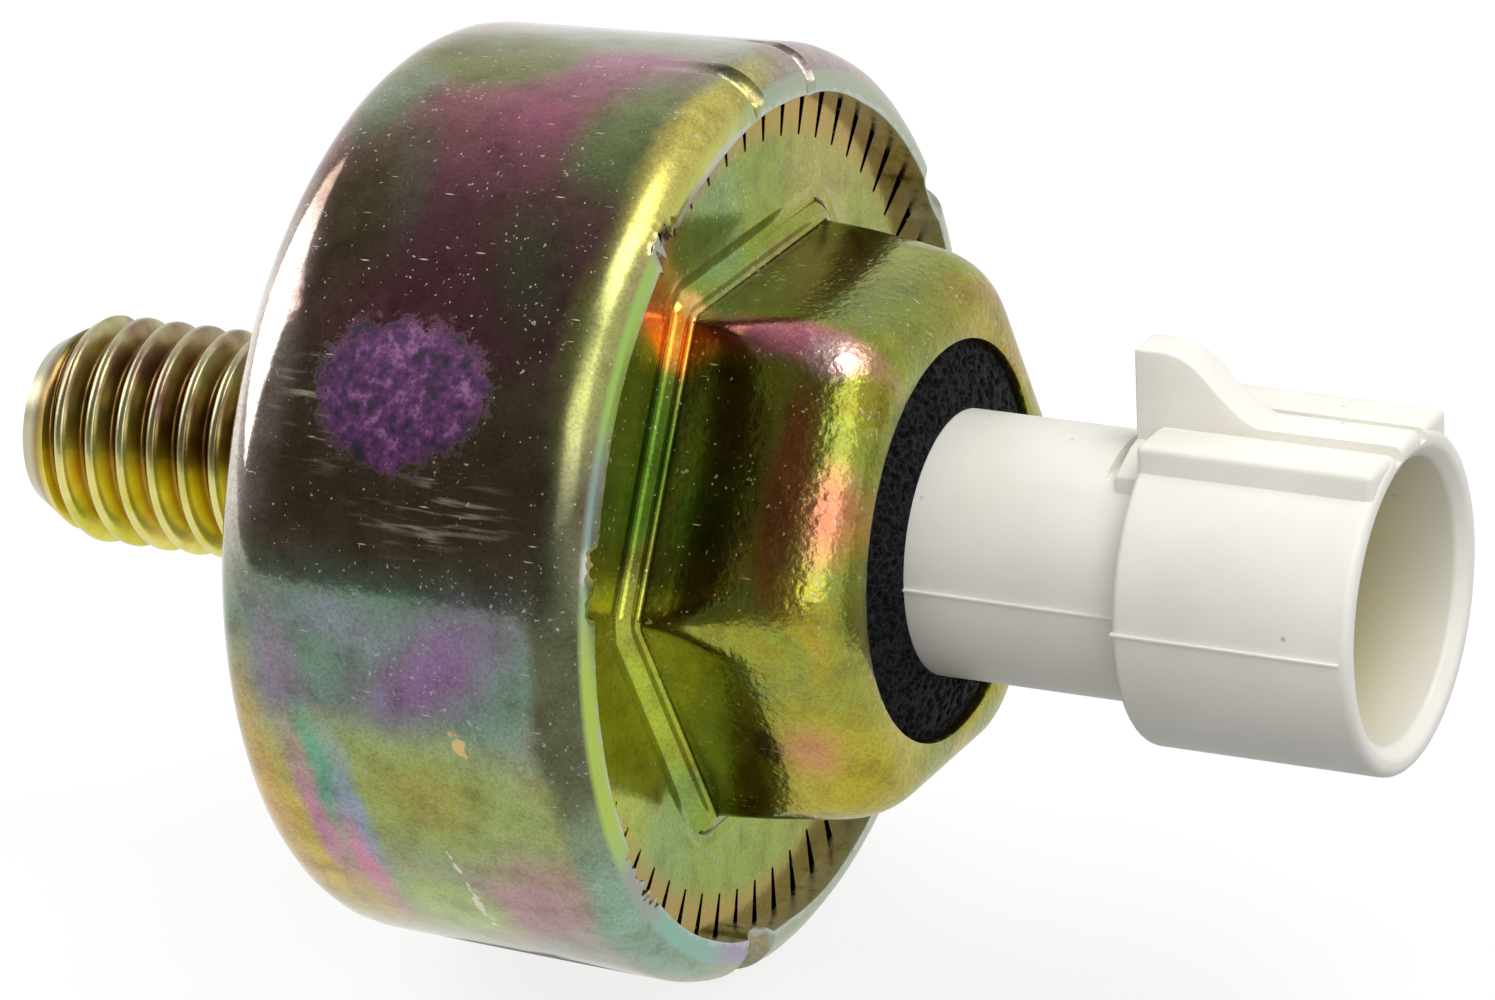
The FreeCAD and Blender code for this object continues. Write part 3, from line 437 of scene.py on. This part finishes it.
# Scuffs from handling run along the wall below the dab and beside it
drawn_out = add(cup_finish, "VectorMath", {0: place, 1: (420, 4200, 4200)},
                operation="MULTIPLY")
streaks = add(cup_finish, "TexNoise", {"Vector": drawn_out[0], "Scale": 1.0, "Detail": 3})
for ellipse in ((10.6, 161.5, 3.4, 5.0), (4.6, 151, 2.0, 7.0)):
    share = add(cup_finish, "MapRange", {
        "Value": off_spot(cup_finish, spot, *ellipse), "From Min": 1.3, "From Max": 0.5,
        "To Max": 0.5})
    streak = add(cup_finish, "MapRange", {"Value": streaks["Fac"], "From Min": 0.53,
                                          "From Max": 0.68})
    scuff = add(cup_finish, "Math", {0: share["Result"], 1: streak["Result"]},
                operation="MULTIPLY")
    dust = add(cup_finish, "Math", {0: dust, 1: scuff[0]}, operation="MAXIMUM")[0]
colour = add(cup_finish, "Mix", {"Factor": dust, 6: colour, 7: "B8B4A4"},
             data_type="RGBA")[2]
# Inspection dab: a fingertip of violet marking ink, streaky where the bristles dragged
ink_reach = off_spot(cup_finish, spot, 8.45, 147.6, 4.1, 8.8)
bristle = add(cup_finish, "TexNoise", {"Vector": place, "Scale": 1 / (0.45 * mm), "Detail": 5,
                                       "Roughness": 0.75})
blot = add(cup_finish, "TexNoise", {"Vector": place, "Scale": 1 / (1.8 * mm), "Detail": 3})
ragged = add(cup_finish, "Math", {0: bristle["Fac"], 1: ink_reach}, operation="ADD")
ink = add(cup_finish, "MapRange", {"Value": ragged[0], "From Min": 1.56, "From Max": 1.44})
streak = add(cup_finish, "Math", {0: blot["Fac"], 1: 0.6, 2: bristle["Fac"]},
             operation="MULTIPLY_ADD")
ink_tint = add(cup_finish, "ValToRGB", {"Fac": streak[0]}, ramp=[
    (0.6, "12081A"), (0.74, "38143E"), (0.87, "5A225C"), (1.0, "86587E")])
colour = add(cup_finish, "Mix", {"Factor": ink["Result"], 6: colour, 7: ink_tint["Color"]},
             data_type="RGBA")[2]
# A painted dark reflection low on the wall: a brown patch, dull enough to stay dark where the
# wall turns away
painted_dark_reflection = add(cup_finish, "MapRange", {
    "Value": off_spot(cup_finish, spot, 9.6, 245.0, 4.6, 9.5), "From Min": 1.1,
    "From Max": 0.9, "To Max": 0.95})
colour = add(cup_finish, "Mix", {"Factor": painted_dark_reflection["Result"], 6: colour, 7: "2C2018"},
             data_type="RGBA")[2]
# Ink, dust and the painted dark reflection lie over the metal; they, the worn rim and the lip
# are duller
cover_up = add(cup_finish, "Math", {0: ink["Result"], 1: dust}, operation="MAXIMUM")
cover_up = add(cup_finish, "Math", {0: cover_up[0], 1: painted_dark_reflection["Result"]}, operation="MAXIMUM")
gloss = add(cup_finish, "Math", {0: cover_up[0], 1: worn[0]}, operation="MAXIMUM")
lip = add(cup_finish, "MapRange", {"Value": ahead["X"], "From Min": 14.5 * mm,
                                   "From Max": 15.5 * mm, "To Max": 0.4})
gloss = add(cup_finish, "Math", {0: gloss[0], 1: lip["Result"]}, operation="MAXIMUM")
gloss = add(cup_finish, "MapRange", {"Value": gloss[0], "To Min": 0.12, "To Max": 0.45})
bare = add(cup_finish, "MapRange", {"Value": cover_up[0], "To Min": 1.0, "To Max": 0.15})
skin = add(cup_finish, "TexNoise", {"Vector": place, "Scale": 1 / (0.5 * mm), "Detail": 4})
dints = add(cup_finish, "Bump", {"Height": skin["Fac"], "Distance": 0.006 * mm,
                                 "Strength": 1.0})
feed(cup_finish, surface, Base_Color=colour, Metallic=bare["Result"],
     Roughness=gloss["Result"], Normal=dints["Normal"])
finish_piece("drawn_cup_with_rolled_lip", cup, cup_finish, "plated_cup", "body_shell", sharp=50)

# Hexagon cover. Pressed from the same sheet and plated the same way: a flat flange with a
# ring of wedge notches under the cup's lip, a low bevelled land and a rolled-over drum.
flange_front = 16.0
flange_radius = 18.47
notch_count = 58
notch_inner = 16.05
notch_depth = 0.7
notch_tip = 0.09
notch_flare = 0.2
notch_first = 2.5
ring_points = 9 * notch_count
drum = 11.1
cover = bmesh.new()


def hexagon_reach(apothem, corner, turn):
    """Distance from the axis to a hexagon with rounded corners at 0, 60, 120 degrees."""
    aside = math.radians(abs(turn % 60 - 30))
    if apothem * math.tan(aside) <= (apothem - corner) * math.tan(math.radians(30)):
        return apothem / math.cos(aside)
    centre = (apothem - corner) / math.cos(math.radians(30))
    off = math.radians(30) - aside
    return centre * math.cos(off) + math.sqrt(corner ** 2 - (centre * math.sin(off)) ** 2)


def notch_half(radius):
    """Half angle in degrees of a notch at a radius."""
    share = max(0, radius - notch_inner) / (flange_radius - notch_inner)
    return math.degrees((notch_tip + notch_flare * share) / radius)


def notch_turn(index, radius):
    """Angle of a flange point: four in nine stand on the edges and floor of a notch."""
    period = 360 / notch_count
    half = notch_half(radius)
    step = index % 9
    if step < 4:
        offset = half * (2 * step / 3 - 1)
    else:
        offset = half + (period - 2 * half) * (step - 3) / 6
    return notch_first + period * (index // 9) + offset


def ring_point(index, x, apothem, corner=None):
    """A point of a ring of the cover: a rounded hexagon, or a circle of the flange."""
    if corner is None:
        turn = notch_turn(index, apothem)
        reach = apothem
    else:
        turn = 360 * index / ring_points
        reach = hexagon_reach(apothem, min(corner, apothem), turn)
    turn = math.radians(turn)
    return Vector((x, reach * math.cos(turn), reach * math.sin(turn))) * mm


rings = [(14.7, 17.0), (14.7, flange_radius), (flange_front, flange_radius)]
rings += [(flange_front, radius) for radius in (18.3, 17.8, 17.2, 16.6, notch_inner, 15.9)]
rings += [
    (16.0, 15.7, 15.7), (16.0, 13.5, 5.0), (16.0, 12.75, 2.6), (16.025, 12.66, 2.3),
    (16.025, 12.58, 2.2), (16.0, 12.48, 2.0), (16.0, 12.2, 1.6), (16.03, 12.02, 1.4),
    (16.14, 11.92, 1.2), (16.18, 11.9, 1.2), (16.47, 11.6, 1.0), (16.5, 11.5, 0.9),
    (16.5, 11.32, 0.6), (16.53, 11.2, 0.5), (16.62, 11.13, 0.45), (16.8, drum, 0.4),
    (17.8, drum, 0.8), (18.9, drum, 1.5), (19.6, drum, 2.1), (20.3, drum, 2.8),
    (20.9, drum, 3.2)]
for index in range(13):
    turn = math.radians(7 * index)
    along = 3.95 * math.sin(turn) ** 0.8
    # The flat ends in a faint crease where the roll begins
    rings.append((21.0 + along, 8.3 + 2.8 * math.cos(turn) ** 0.8
                  - 0.1 * (1 - math.exp(-along / 0.5)) * math.cos(turn), 3.2 + 1.3 * index / 12))
rings += [(24.95, 8.62, 8.62), (24.90, 8.50, 8.50), (24.80, 8.46, 8.46), (23.75, 8.46, 8.46),
          (23.2, 9.4, 6.0), (21.6, 9.8, 3.2), (14.7, 9.8, 1.4), (14.7, 15.0, 15.0)]
# A barrel with a millimetre to each ring is spun first, then each ring is pressed to shape
turned(cover, [(index, 10, 0) for index in range(len(rings))], ring_points)
for vert in cover.verts:
    turn = math.degrees(math.atan2(vert.co.z, vert.co.y)) % 360
    index = round(turn * ring_points / 360) % ring_points
    vert.co = ring_point(index, *rings[round(vert.co.x / mm)])
sunk = []
for face in cover.faces:
    middle = face.calc_center_median() / mm
    radius = math.hypot(middle.y, middle.z)
    if abs(middle.x - flange_front) < 1e-3 and notch_inner < radius < 18.3:
        period = 360 / notch_count
        step = (math.degrees(math.atan2(middle.z, middle.y)) - notch_first) % period
        if step < notch_half(radius) or step > period - notch_half(radius):
            sunk.append(face)
floor_part = bmesh.ops.extrude_face_region(cover, geom=sunk)["geom"]
for item in floor_part:
    # Each notch is deepest under the lip and runs out in a ramp at its inner tip
    if isinstance(item, bmesh.types.BMVert):
        radius = math.hypot(item.co.y, item.co.z) / mm
        item.co.x -= notch_depth * max(0.08, min(1, (radius - notch_inner) / 1.1)) * mm
bmesh.ops.delete(cover, geom=[face for face in sunk if face.is_valid], context="FACES")

# Yellow-green rainbow chromate: glossy on the flats, an orange-peel skin on the drawn crown
cover_finish, surface, place, spot, colour, dust = chromate(
    "rainbow_chromate_on_pressed_steel", [
        (0.30, "A09638"), (0.42, "A0A440"), (0.5, "94A048"), (0.6, "B0A43C"),
        (0.72, "A88850")], [
        (23.0, 228, 2.4, 26, "C0B440", 0.6),
        (17.9, 150, 3.4, 24, "86803A", 0.1),
        (18.6, 158, 1.3, 10, "6A7838", 0.6),
        (18.2, 90, 3.1, 24, "A09858", 0.1),
        (18.2, 208, 2.9, 24, "AAA836", 0.08),
        (20.6, 214, 0.7, 5, "6A6426", 0.4),
        (23.0, 98, 2.2, 24, "84903A", 0.6),
        (22.0, 150, 0.9, 22, "A0683C", 0.5),
        # Painted highlight: a pink band along the corner at 120 degrees and a pink-white spot on
        # the crown above it
        (20.5, 120, 3.4, 4.5, "E08CA0", 0.6),
        (22.6, 122, 0.8, 4, "E4C4C0", 0.7),
        (23.9, 155, 1.0, 10, "D08868", 0.7),
        (22.4, 215, 1.2, 7, "C89460", 0.8),
        (16.0, 85, 0.5, 48, "8C9E34", 0.3),
        (16.0, 235, 0.5, 48, "92A834", 0.3),
        (16.0, 102, 0.5, 9, "84A258", 0.6),
        (16.0, 228, 0.5, 10, "8EAA58", 0.6),
        (16.0, 60, 0.5, 14, "A8A650", 0.6),
        # Painted reflection: the flange's sector before the camera-facing flat is darkened green
        (16.0, 150, 0.8, 20, "4E6C22", 0.4),
        (16.1, 200, 0.7, 18, "B4C444", 0.5),
        # Painted reflection: an orange streak on the flange at 125 degrees and a pale yellow
        # glint beside it, where the bright corner would show
        (16.0, 125, 1.2, 5, "F09838", 0.5),
        (16.5, 118, 0.6, 3, "F4C878", 0.5),
    ], (1.0, 7.0, 0))
# Round the notches the film is thinner: tan below and rose on the upper left
outer = add(cover_finish, "MapRange", {
    "Value": off_axis(cover_finish, place), "From Min": 15.7 * mm, "From Max": 16.7 * mm,
    "To Max": 0.7})
rose = patched(cover_finish, linear("AC843C"), spot, [(16, 118, 3, 18, "A8606C", 0.5)])
colour = add(cover_finish, "Mix", {"Factor": outer["Result"], 6: colour, 7: rose},
             data_type="RGBA")[2]
colour = add(cover_finish, "Mix", {"Factor": dust, 6: colour, 7: "B8B498"},
             data_type="RGBA")[2]
skin = add(cover_finish, "TexNoise", {"Vector": place, "Scale": 1 / (0.36 * mm), "Detail": 2})
ahead = add(cover_finish, "SeparateXYZ", {"Vector": place})
drawn = add(cover_finish, "MapRange", {"Value": ahead["X"], "From Min": 19.0 * mm,
                                       "From Max": 22.5 * mm, "To Min": 0.12})
peel = add(cover_finish, "Math", {0: skin["Fac"], 1: drawn["Result"]}, operation="MULTIPLY")
dints = add(cover_finish, "Bump", {"Height": peel[0], "Distance": 0.055 * mm,
                                   "Strength": 1.0})
# Painted shade: the notch floors and the flange's sides, below 15.75 mm, are darkened to brown
painted_notch_shade = add(cover_finish, "MapRange", {"Value": ahead["X"], "From Min": 15.75 * mm,
                                        "From Max": 15.5 * mm, "To Max": 0.9})
colour = add(cover_finish, "Mix", {"Factor": painted_notch_shade["Result"], 6: colour, 7: "5A3420"},
             data_type="RGBA")[2]
gloss = add(cover_finish, "MapRange", {"Value": ahead["X"], "From Min": 19.5 * mm,
                                       "From Max": 22.0 * mm, "To Min": 0.16, "To Max": 0.28})
bare = add(cover_finish, "MapRange", {"Value": dust, "To Min": 1.0, "To Max": 0.25})
feed(cover_finish, surface, Base_Color=colour, Metallic=bare["Result"],
     Roughness=gloss["Result"], Normal=dints["Normal"])
finish_piece("pressed_hexagon_cover", cover, cover_finish, "plated_cover", "hex_cover", sharp=40)

# Connector. One moulding in white glass-filled nylon: a base disc inside the cup, the neck
# and the round shroud, with two key ribs and a latch fin on the upper side.
base_radius = 17.9
neck_start = 21.6
neck_radius = 5.6
shroud_start = 35.1
shroud_end = 45.45
shroud_radius = 7.2
bore_radius = 5.94
rib_inner = 1.7
rib_outer = 4.15
rib_top = 7.03
rib_length = 10.25
fin_half = 1.0
fin_start = 33.8
flash_height = 0.15
connector = bmesh.new()
turned(connector, [
    (15.5, 0, 0), (15.5, 6.0, 0), (11.5, 6.0, 0), (11.5, base_radius, 0.2),
    (11.98, base_radius, 0), (11.98, 16.7, 0), (13.42, 16.7, 0), (13.42, base_radius, 0),
    (13.9, base_radius, 0.2), (13.9, 9.2, 0), (neck_start, 9.2, 0.4),
    (neck_start, neck_radius, 0), (shroud_start, neck_radius, 0.1),
    (shroud_start, shroud_radius, 0.35), (shroud_end, shroud_radius, 0.4),
    (shroud_end, 6.45, 0.15), (44.95, bore_radius, 0.15), (35.4, bore_radius, 0.2),
    (35.4, 0, 0)], 256, 5)


def prism(points, sweep, round_off=0.0):
    """A flat outline of (x, y, z) points in mm, swept along a vector, its edges rounded."""
    solid = bmesh.new()
    face = solid.faces.new([solid.verts.new(Vector(point) * mm) for point in points])
    swept = bmesh.ops.extrude_face_region(solid, geom=[face])["geom"]
    bmesh.ops.translate(solid, vec=Vector(sweep) * mm,
                        verts=[item for item in swept if isinstance(item, bmesh.types.BMVert)])
    bmesh.ops.recalc_face_normals(solid, faces=solid.faces)
    if round_off:
        bmesh.ops.bevel(solid, geom=solid.edges[:], offset=round_off * mm, segments=3,
                        profile=0.5, affect="EDGES", offset_type="OFFSET", material=-1,
                        clamp_overlap=True)
    return solid


def plain_object(name, bm):
    """A helper object for the moulding's Boolean steps."""
    mesh = bpy.data.meshes.new(name)
    bmesh.ops.recalc_face_normals(bm, faces=bm.faces)
    bm.to_mesh(mesh)
    bm.free()
    made = bpy.data.objects.new(name, mesh)
    bpy.context.scene.collection.objects.link(made)
    return made


parts = []
for side in (-1, 1):
    # The sunk valley between the rib and the ridge under the fin, then the rib
    parts.append(("DIFFERENCE", prism([
        (35.05, side * offset, height) for offset, height in (
            (fin_half, 6.5), (rib_inner, 6.5), (rib_inner, 8.5), (fin_half, 8.5))],
        (10.6, 0, 0))))
    parts.append(("UNION", prism([
        (shroud_start, side * offset, height) for offset, height in (
            (rib_inner, 6.3), (3.47, 5.6), (rib_outer, 5.1), (rib_outer, rib_top),
            (rib_inner, rib_top))], (rib_length, 0, 0), 0.3)))
    # Flash: the thin line that the two halves of the mould leave
    for start, length, radius in ((21.7, 13.4, neck_radius), (35.15, 9.9, shroud_radius)):
        low, high = side * (radius - flash_height), side * (radius + flash_height)
        parts.append(("UNION", prism([
            (start, low, -0.12), (start, high, -0.05), (start, high, 0.03),
            (start, low, 0.06)], (length, 0, 0))))
# The raised pad behind the shroud, and the ridge that rises into the latch fin
parts.append(("UNION", prism([
    (fin_start, offset, height) for offset, height in (
        (-3.35, 3.0), (3.35, 3.0), (3.3, 5.23), (1.7, 5.95), (0, 6.2), (-1.7, 5.95),
        (-3.3, 5.23))], (1.4, 0, 0), 0.12)))
parts.append(("UNION", prism([
    (along, -fin_half, height) for along, height in (
        (fin_start, 5.0), (35.4, 5.0), (35.4, 6.3), (45.35, 6.3), (45.35, rib_top),
        (40.4, rib_top), (39.4, 7.12), (38.6, 7.45), (37.6, 8.3), (36.9, 9.05), (36.3, 9.58),
        (35.8, 9.84), (35.2, 9.96), (fin_start, 9.96))], (0, 2 * fin_half, 0), 0.14)))
# The slot behind the pad, and the slot for the terminal
parts.append(("DIFFERENCE", prism([
    (33.15, -6, 4.85), (fin_start, -6, 4.85), (fin_start, -6, 6.5), (33.15, -6, 6.5)],
    (0, 12, 0))))
parts.append(("DIFFERENCE", prism([
    (15.0, -1.43, -0.43), (15.0, 1.43, -0.43), (15.0, 1.43, 0.43), (15.0, -1.43, 0.43)],
    (21.0, 0, 0))))
blank = plain_object("connector_blank", connector)
helpers = []
for index, (kind, solid) in enumerate(parts):
    helpers.append(plain_object(f"connector_part_{index}", solid))
    change = blank.modifiers.new(f"part_{index}", "BOOLEAN")
    change.operation = kind
    change.solver = "EXACT"
    change.object = helpers[-1]
bpy.context.view_layer.update()
shaped = blank.evaluated_get(bpy.context.evaluated_depsgraph_get())
connector = bmesh.new()
connector.from_mesh(shaped.to_mesh())
shaped.to_mesh_clear()
for helper in helpers + [blank]:
    bpy.data.objects.remove(helper)

# White nylon as moulded: a satin skin with a few dark specks, and painted shade that darkens the
# shroud's bore to khaki the deeper it goes
nylon, surface, place = new_material("white_moulded_nylon")
tone = add(nylon, "TexNoise", {"Vector": place, "Scale": 1 / (5 * mm), "Detail": 3})
white = add(nylon, "ValToRGB", {"Fac": tone["Fac"]}, ramp=[(0.3, "EAE7DE"), (0.7, "F3F0E8")])
ahead = add(nylon, "SeparateXYZ", {"Vector": place})
# Painted shade: inside the bore, darker towards its floor
within = add(nylon, "MapRange", {"Value": off_axis(nylon, place), "From Min": 6.25 * mm,
                                 "From Max": 5.97 * mm})
deep = add(nylon, "MapRange", {"Value": ahead["X"], "From Min": 45.4 * mm,
                               "From Max": 41 * mm})
forward = add(nylon, "Math", {0: ahead["X"], 1: 35.3 * mm}, operation="GREATER_THAN")
inside = add(nylon, "Math", {0: within["Result"], 1: forward[0]}, operation="MULTIPLY")
inside = add(nylon, "Math", {0: inside[0], 1: deep["Result"]}, operation="MULTIPLY")
inside = add(nylon, "Math", {0: inside[0], 1: 0.9}, operation="MULTIPLY")
white_with_bore_shade = add(nylon, "Mix", {"Factor": inside[0], 6: white["Color"], 7: "CBC59C"},
            data_type="RGBA")
speck = add(nylon, "TexVoronoi", {"Vector": place, "Scale": 1 / (3.2 * mm),
                                  "Randomness": 1.0})
dark = add(nylon, "MapRange", {"Value": speck["Distance"], "From Min": 0.045,
                               "From Max": 0.02, "To Max": 0.55})
shade = add(nylon, "Mix", {"Factor": dark["Result"], 6: white_with_bore_shade[2], 7: "8A8478"},
            data_type="RGBA")
skin = add(nylon, "TexNoise", {"Vector": place, "Scale": 1 / (0.3 * mm), "Detail": 3})
dints = add(nylon, "Bump", {"Height": skin["Fac"], "Distance": 0.008 * mm, "Strength": 0.6})
feed(nylon, surface, Base_Color=shade[2], Roughness=0.42, IOR=1.53, Normal=dints["Normal"],
     Subsurface_Weight=0.15, Subsurface_Radius=(1.2 * mm, 1.1 * mm, 0.9 * mm),
     Subsurface_Scale=1.0)
finish_piece("moulded_connector", connector, nylon, "white_moulding", "connector_body",
             sharp=30)

# Foam ring. Black open-cell polyurethane, die cut and pushed into the gap between the neck
# and the cover's opening, where it bulges round the neck and keeps the dust out.
foam_outer = 8.43
foam_inner = 5.63
foam_front = 24.5
foam_bulge = 0.75
front_steps = 45
cell_size = 0.42
pore_depth = 0.34
foam = bmesh.new()
foam_rings = [(neck_start, foam_inner, 0), (neck_start, foam_outer, 0), (23.0, foam_outer, 0)]
for index in range(front_steps + 1):
    share = index / front_steps
    foam_rings.append((foam_front + foam_bulge * (1 - (1 - share) ** 1.8),
                       foam_outer - (foam_outer - foam_inner) * share, 0))
foam_rings.append((23.4, foam_inner, 0))
turned(foam, foam_rings, 720)
# Each pore is a pit in the front face, with a thin wall between it and the next
for vert in foam.verts:
    x, y, z = vert.co / mm
    if x > 24.3:
        distances = noise.voronoi(Vector((x, y, z)) / cell_size)[0]
        pore = max(0, 1 - distances[0] / 0.52)
        wall = distances[1] - distances[0]
        depth = pore_depth * min(1, pore * 1.4) * min(1, wall * 5)
        rough_up = 0.04 * noise.noise(Vector((x, y, z)) * 3)
        radius = math.hypot(y, z)
        edge = min(1, (foam_outer - radius) / 0.12, (radius - foam_inner) / 0.2)
        vert.co.x -= (depth + abs(rough_up)) * max(0, edge) * mm

# Matt black foam with painted light: the pores darkest at their middles as painted shade, their
# walls a little lighter as a painted highlight
black_foam, surface, place = new_material("black_open_cell_foam")
cells = add(black_foam, "TexVoronoi", {"Vector": place, "Scale": 1 / (cell_size * mm)},
            feature="DISTANCE_TO_EDGE")
walls = add(black_foam, "ValToRGB", {"Fac": cells["Distance"]}, ramp=[
    (0.0, "262628"), (0.08, "0A0A0A"), (0.22, "010101")])
fuzz = add(black_foam, "TexNoise", {"Vector": place, "Scale": 1 / (0.12 * mm), "Detail": 3})
dints = add(black_foam, "Bump", {"Height": fuzz["Fac"], "Distance": 0.04 * mm,
                                 "Strength": 0.8})
feed(black_foam, surface, Base_Color=walls["Color"], Roughness=0.75, Specular_IOR_Level=0.12,
     Normal=dints["Normal"])
foam_piece = finish_piece("open_cell_foam_ring", foam, black_foam, "black_foam", "foam_ring",
                          sharp=180)

# Inner pieces. The sensing stack and the leads inside the cup are seen only in a section or
# through the socket's mouth; each keeps its solid and takes the finish of its own stock.
# Finish, colour, metal share and roughness, as each stock comes from the mill or the mould
inner_finishes = [
    ("sheet_steel", "A9A9A4", 1.0, 0.35, ["support_ring"]),
    ("spring_steel", "8C8F94", 1.0, 0.25, ["vibration_plate"]),
    ("fired_piezo_ceramic", "D8CFB4", 0.0, 0.6, ["piezo_disc"]),
    ("moulded_spacer", "3A3A3C", 0.0, 0.5, ["spacer_ring"]),
    ("tinned_brass", "C9C2A6", 1.0, 0.3, ["ground_tag"]),
    ("moulded_rubber", "1C1C1D", 0.0, 0.55, ["base_o_ring"]),
    ("gasket_fibre", "6B5A45", 0.0, 0.85, ["cover_gasket"]),
    ("amber_potting_resin", "4A2E14", 0.0, 0.2, ["terminal_potting"]),
    ("rolled_brass", "C7A452", 1.0, 0.25, ["terminal"]),
    ("phosphor_bronze", "B98A5C", 1.0, 0.3, ["contact_spring"]),
    ("resistor_coat", "B9A77E", 0.0, 0.4, ["resistor_body"]),
    ("tinned_copper", "BEBBB2", 1.0, 0.3,
     ["resistor_lead_ground", "resistor_lead_terminal"]),
    ("tin_solder", "B4B4B0", 1.0, 0.22, ["solder_ground", "solder_terminal"]),
]
for finish, code, metal, rough, names in inner_finishes:
    stock, surface, place = new_material(finish)
    fibre = add(stock, "TexNoise", {"Vector": place, "Scale": 1 / (0.8 * mm), "Detail": 4})
    shade = add(stock, "MapRange", {"Value": fibre["Fac"], "From Min": 0.3, "From Max": 0.7,
                                    "To Min": 0.82, "To Max": 1.0})
    tone = add(stock, "Mix", {"Factor": 1.0, 6: code, 7: shade["Result"]},
               data_type="RGBA", blend_type="MULTIPLY")
    dints = add(stock, "Bump", {"Height": fibre["Fac"], "Distance": 0.02 * mm,
                                "Strength": 0.5})
    feed(stock, surface, Base_Color=tone[2], Metallic=metal, Roughness=rough,
         Normal=dints["Normal"])
    for name in names:
        for index in range(len(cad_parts[name].material_slots)):
            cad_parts[name].material_slots[index].material = stock

# Studio. A white paper table in a white room, a curved grey curtain in front whose dark shows
# in the plated wall, and three soft lamps: overhead, on the stud's side and on the plug's.
table_half = 1.5
table_front = 0.16
table_top = -20.05
curtain_radius = 1.3
curtain_edge = 0.12
curtain_aim = Vector((-0.42, -0.715, 0.56)).normalized()
floor = bmesh.new()
bmesh.ops.create_grid(floor, x_segments=1, y_segments=1, size=table_half)
bmesh.ops.translate(floor, vec=(0, table_half - table_front, table_top * mm),
                    verts=floor.verts)
curtain = bmesh.new()
bmesh.ops.create_uvsphere(curtain, u_segments=64, v_segments=32, radius=curtain_radius)
bmesh.ops.bisect_plane(curtain, geom=curtain.verts[:] + curtain.edges[:] + curtain.faces[:],
                       plane_co=curtain_aim * curtain_edge, plane_no=-curtain_aim,
                       clear_outer=True)
# The paper stays a soft white; the curtain is darkest at its middle and fades at its edge
paper, paper_surface, place = new_material("white_table_paper")
feed(paper, paper_surface, Base_Color="707070", Roughness=0.9)
cloth, cloth_surface, place = new_material("grey_curtain_cloth")
outward = add(cloth, "VectorMath", {0: place}, operation="NORMALIZE")
aside = add(cloth, "VectorMath", {0: outward[0], 1: curtain_aim}, operation="DOT_PRODUCT")
folds = add(cloth, "ValToRGB", {"Fac": aside["Value"]}, ramp=[
    (0.15, "FFFFFF"), (0.42, "C8C8C8"), (0.7, "989694"), (0.92, "747270")])
feed(cloth, cloth_surface, Base_Color="000000", Roughness=1.0, Specular_IOR_Level=0.0,
     Emission_Color=folds["Color"], Emission_Strength=1.0)
world = bpy.data.worlds.new("studio_room")
bpy.context.scene.world = world
world.use_nodes = True
shown = {}
for room_part in (paper, world):
    # The white of the background is seen by the camera and in metal and glass
    rays = add(room_part, "LightPath")
    seen = add(room_part, "Math", {0: rays["Is Camera Ray"], 1: rays["Is Glossy Ray"]},
               operation="MAXIMUM")
    shown[room_part.name] = add(room_part, "Math", {
        0: seen[0], 1: rays["Is Transmission Ray"]}, operation="MAXIMUM")[0]
glow = add(paper, "Math", {0: shown[paper.name], 1: 0.82}, operation="MULTIPLY")
feed(paper, paper_surface, Emission_Color="FFFFFF", Emission_Strength=glow[0])
walls = add(world, "Mix", {"Factor": shown[world.name], 6: "C2C2C2", 7: "FFFFFF"},
            data_type="RGBA")
backdrop = world.node_tree.nodes["Background"]
world.node_tree.links.new(walls[2], backdrop.inputs["Color"])
backdrop.inputs["Strength"].default_value = 1.0
for name, part, stock in (("studio_table", floor, paper), ("studio_curtain", curtain, cloth)):
    mesh = bpy.data.meshes.new(name)
    part.to_mesh(mesh)
    part.free()
    mesh.materials.append(stock)
    item = bpy.data.objects.new(name, mesh)
    bpy.context.scene.collection.objects.link(item)
    if part is curtain:
        item.visible_camera = False
        item.visible_diffuse = False
        item.visible_shadow = False

# Name, place and side in metres, and power in watts of each lamp
lamps = [
    ("overhead_soft_box", (0.24, -0.02, 0.42), 0.26, 1.0),
    ("stud_side_box", (-0.43, -0.05, 0.25), 0.4, 1.5),
    ("connector_side_card", (0.38, -0.40, 0.30), 0.36, 0.95),
]
for name, place, side, power in lamps:
    lamp_data = bpy.data.lights.new(name, "AREA")
    lamp_data.shape = "SQUARE"
    lamp_data.size = side
    lamp_data.energy = power
    lamp = bpy.data.objects.new(name, lamp_data)
    lamp.location = place
    lamp.rotation_euler = (Vector((0.012, 0, 0)) - Vector(place)).to_track_quat(
        "-Z", "Y").to_euler()
    lamp.visible_camera = False
    bpy.context.scene.collection.objects.link(lamp)

# Camera: a long lens from the front, above and a little to the connector's side
camera_data = bpy.data.cameras.new("photo_view")
camera_data.sensor_width = 36.0
camera_data.lens = 214.05
camera_data.clip_start = 0.01
camera_data.clip_end = 10
camera = bpy.data.objects.new("photo_view", camera_data)
lens_place = Vector((169.97, -311.74, 135.34)) * mm
right = Vector((0.90217, 0.42947, -0.04066))
upward = Vector((-0.12111, 0.34263, 0.93163))
behind = Vector((0.41404, -0.83556, 0.36113))
turned_camera = Matrix((right, upward, behind)).transposed().to_4x4()
camera.matrix_world = Matrix.Translation(lens_place) @ turned_camera
bpy.context.scene.collection.objects.link(camera)
bpy.context.scene.camera = camera
bpy.context.scene.view_settings.view_transform = "Standard"
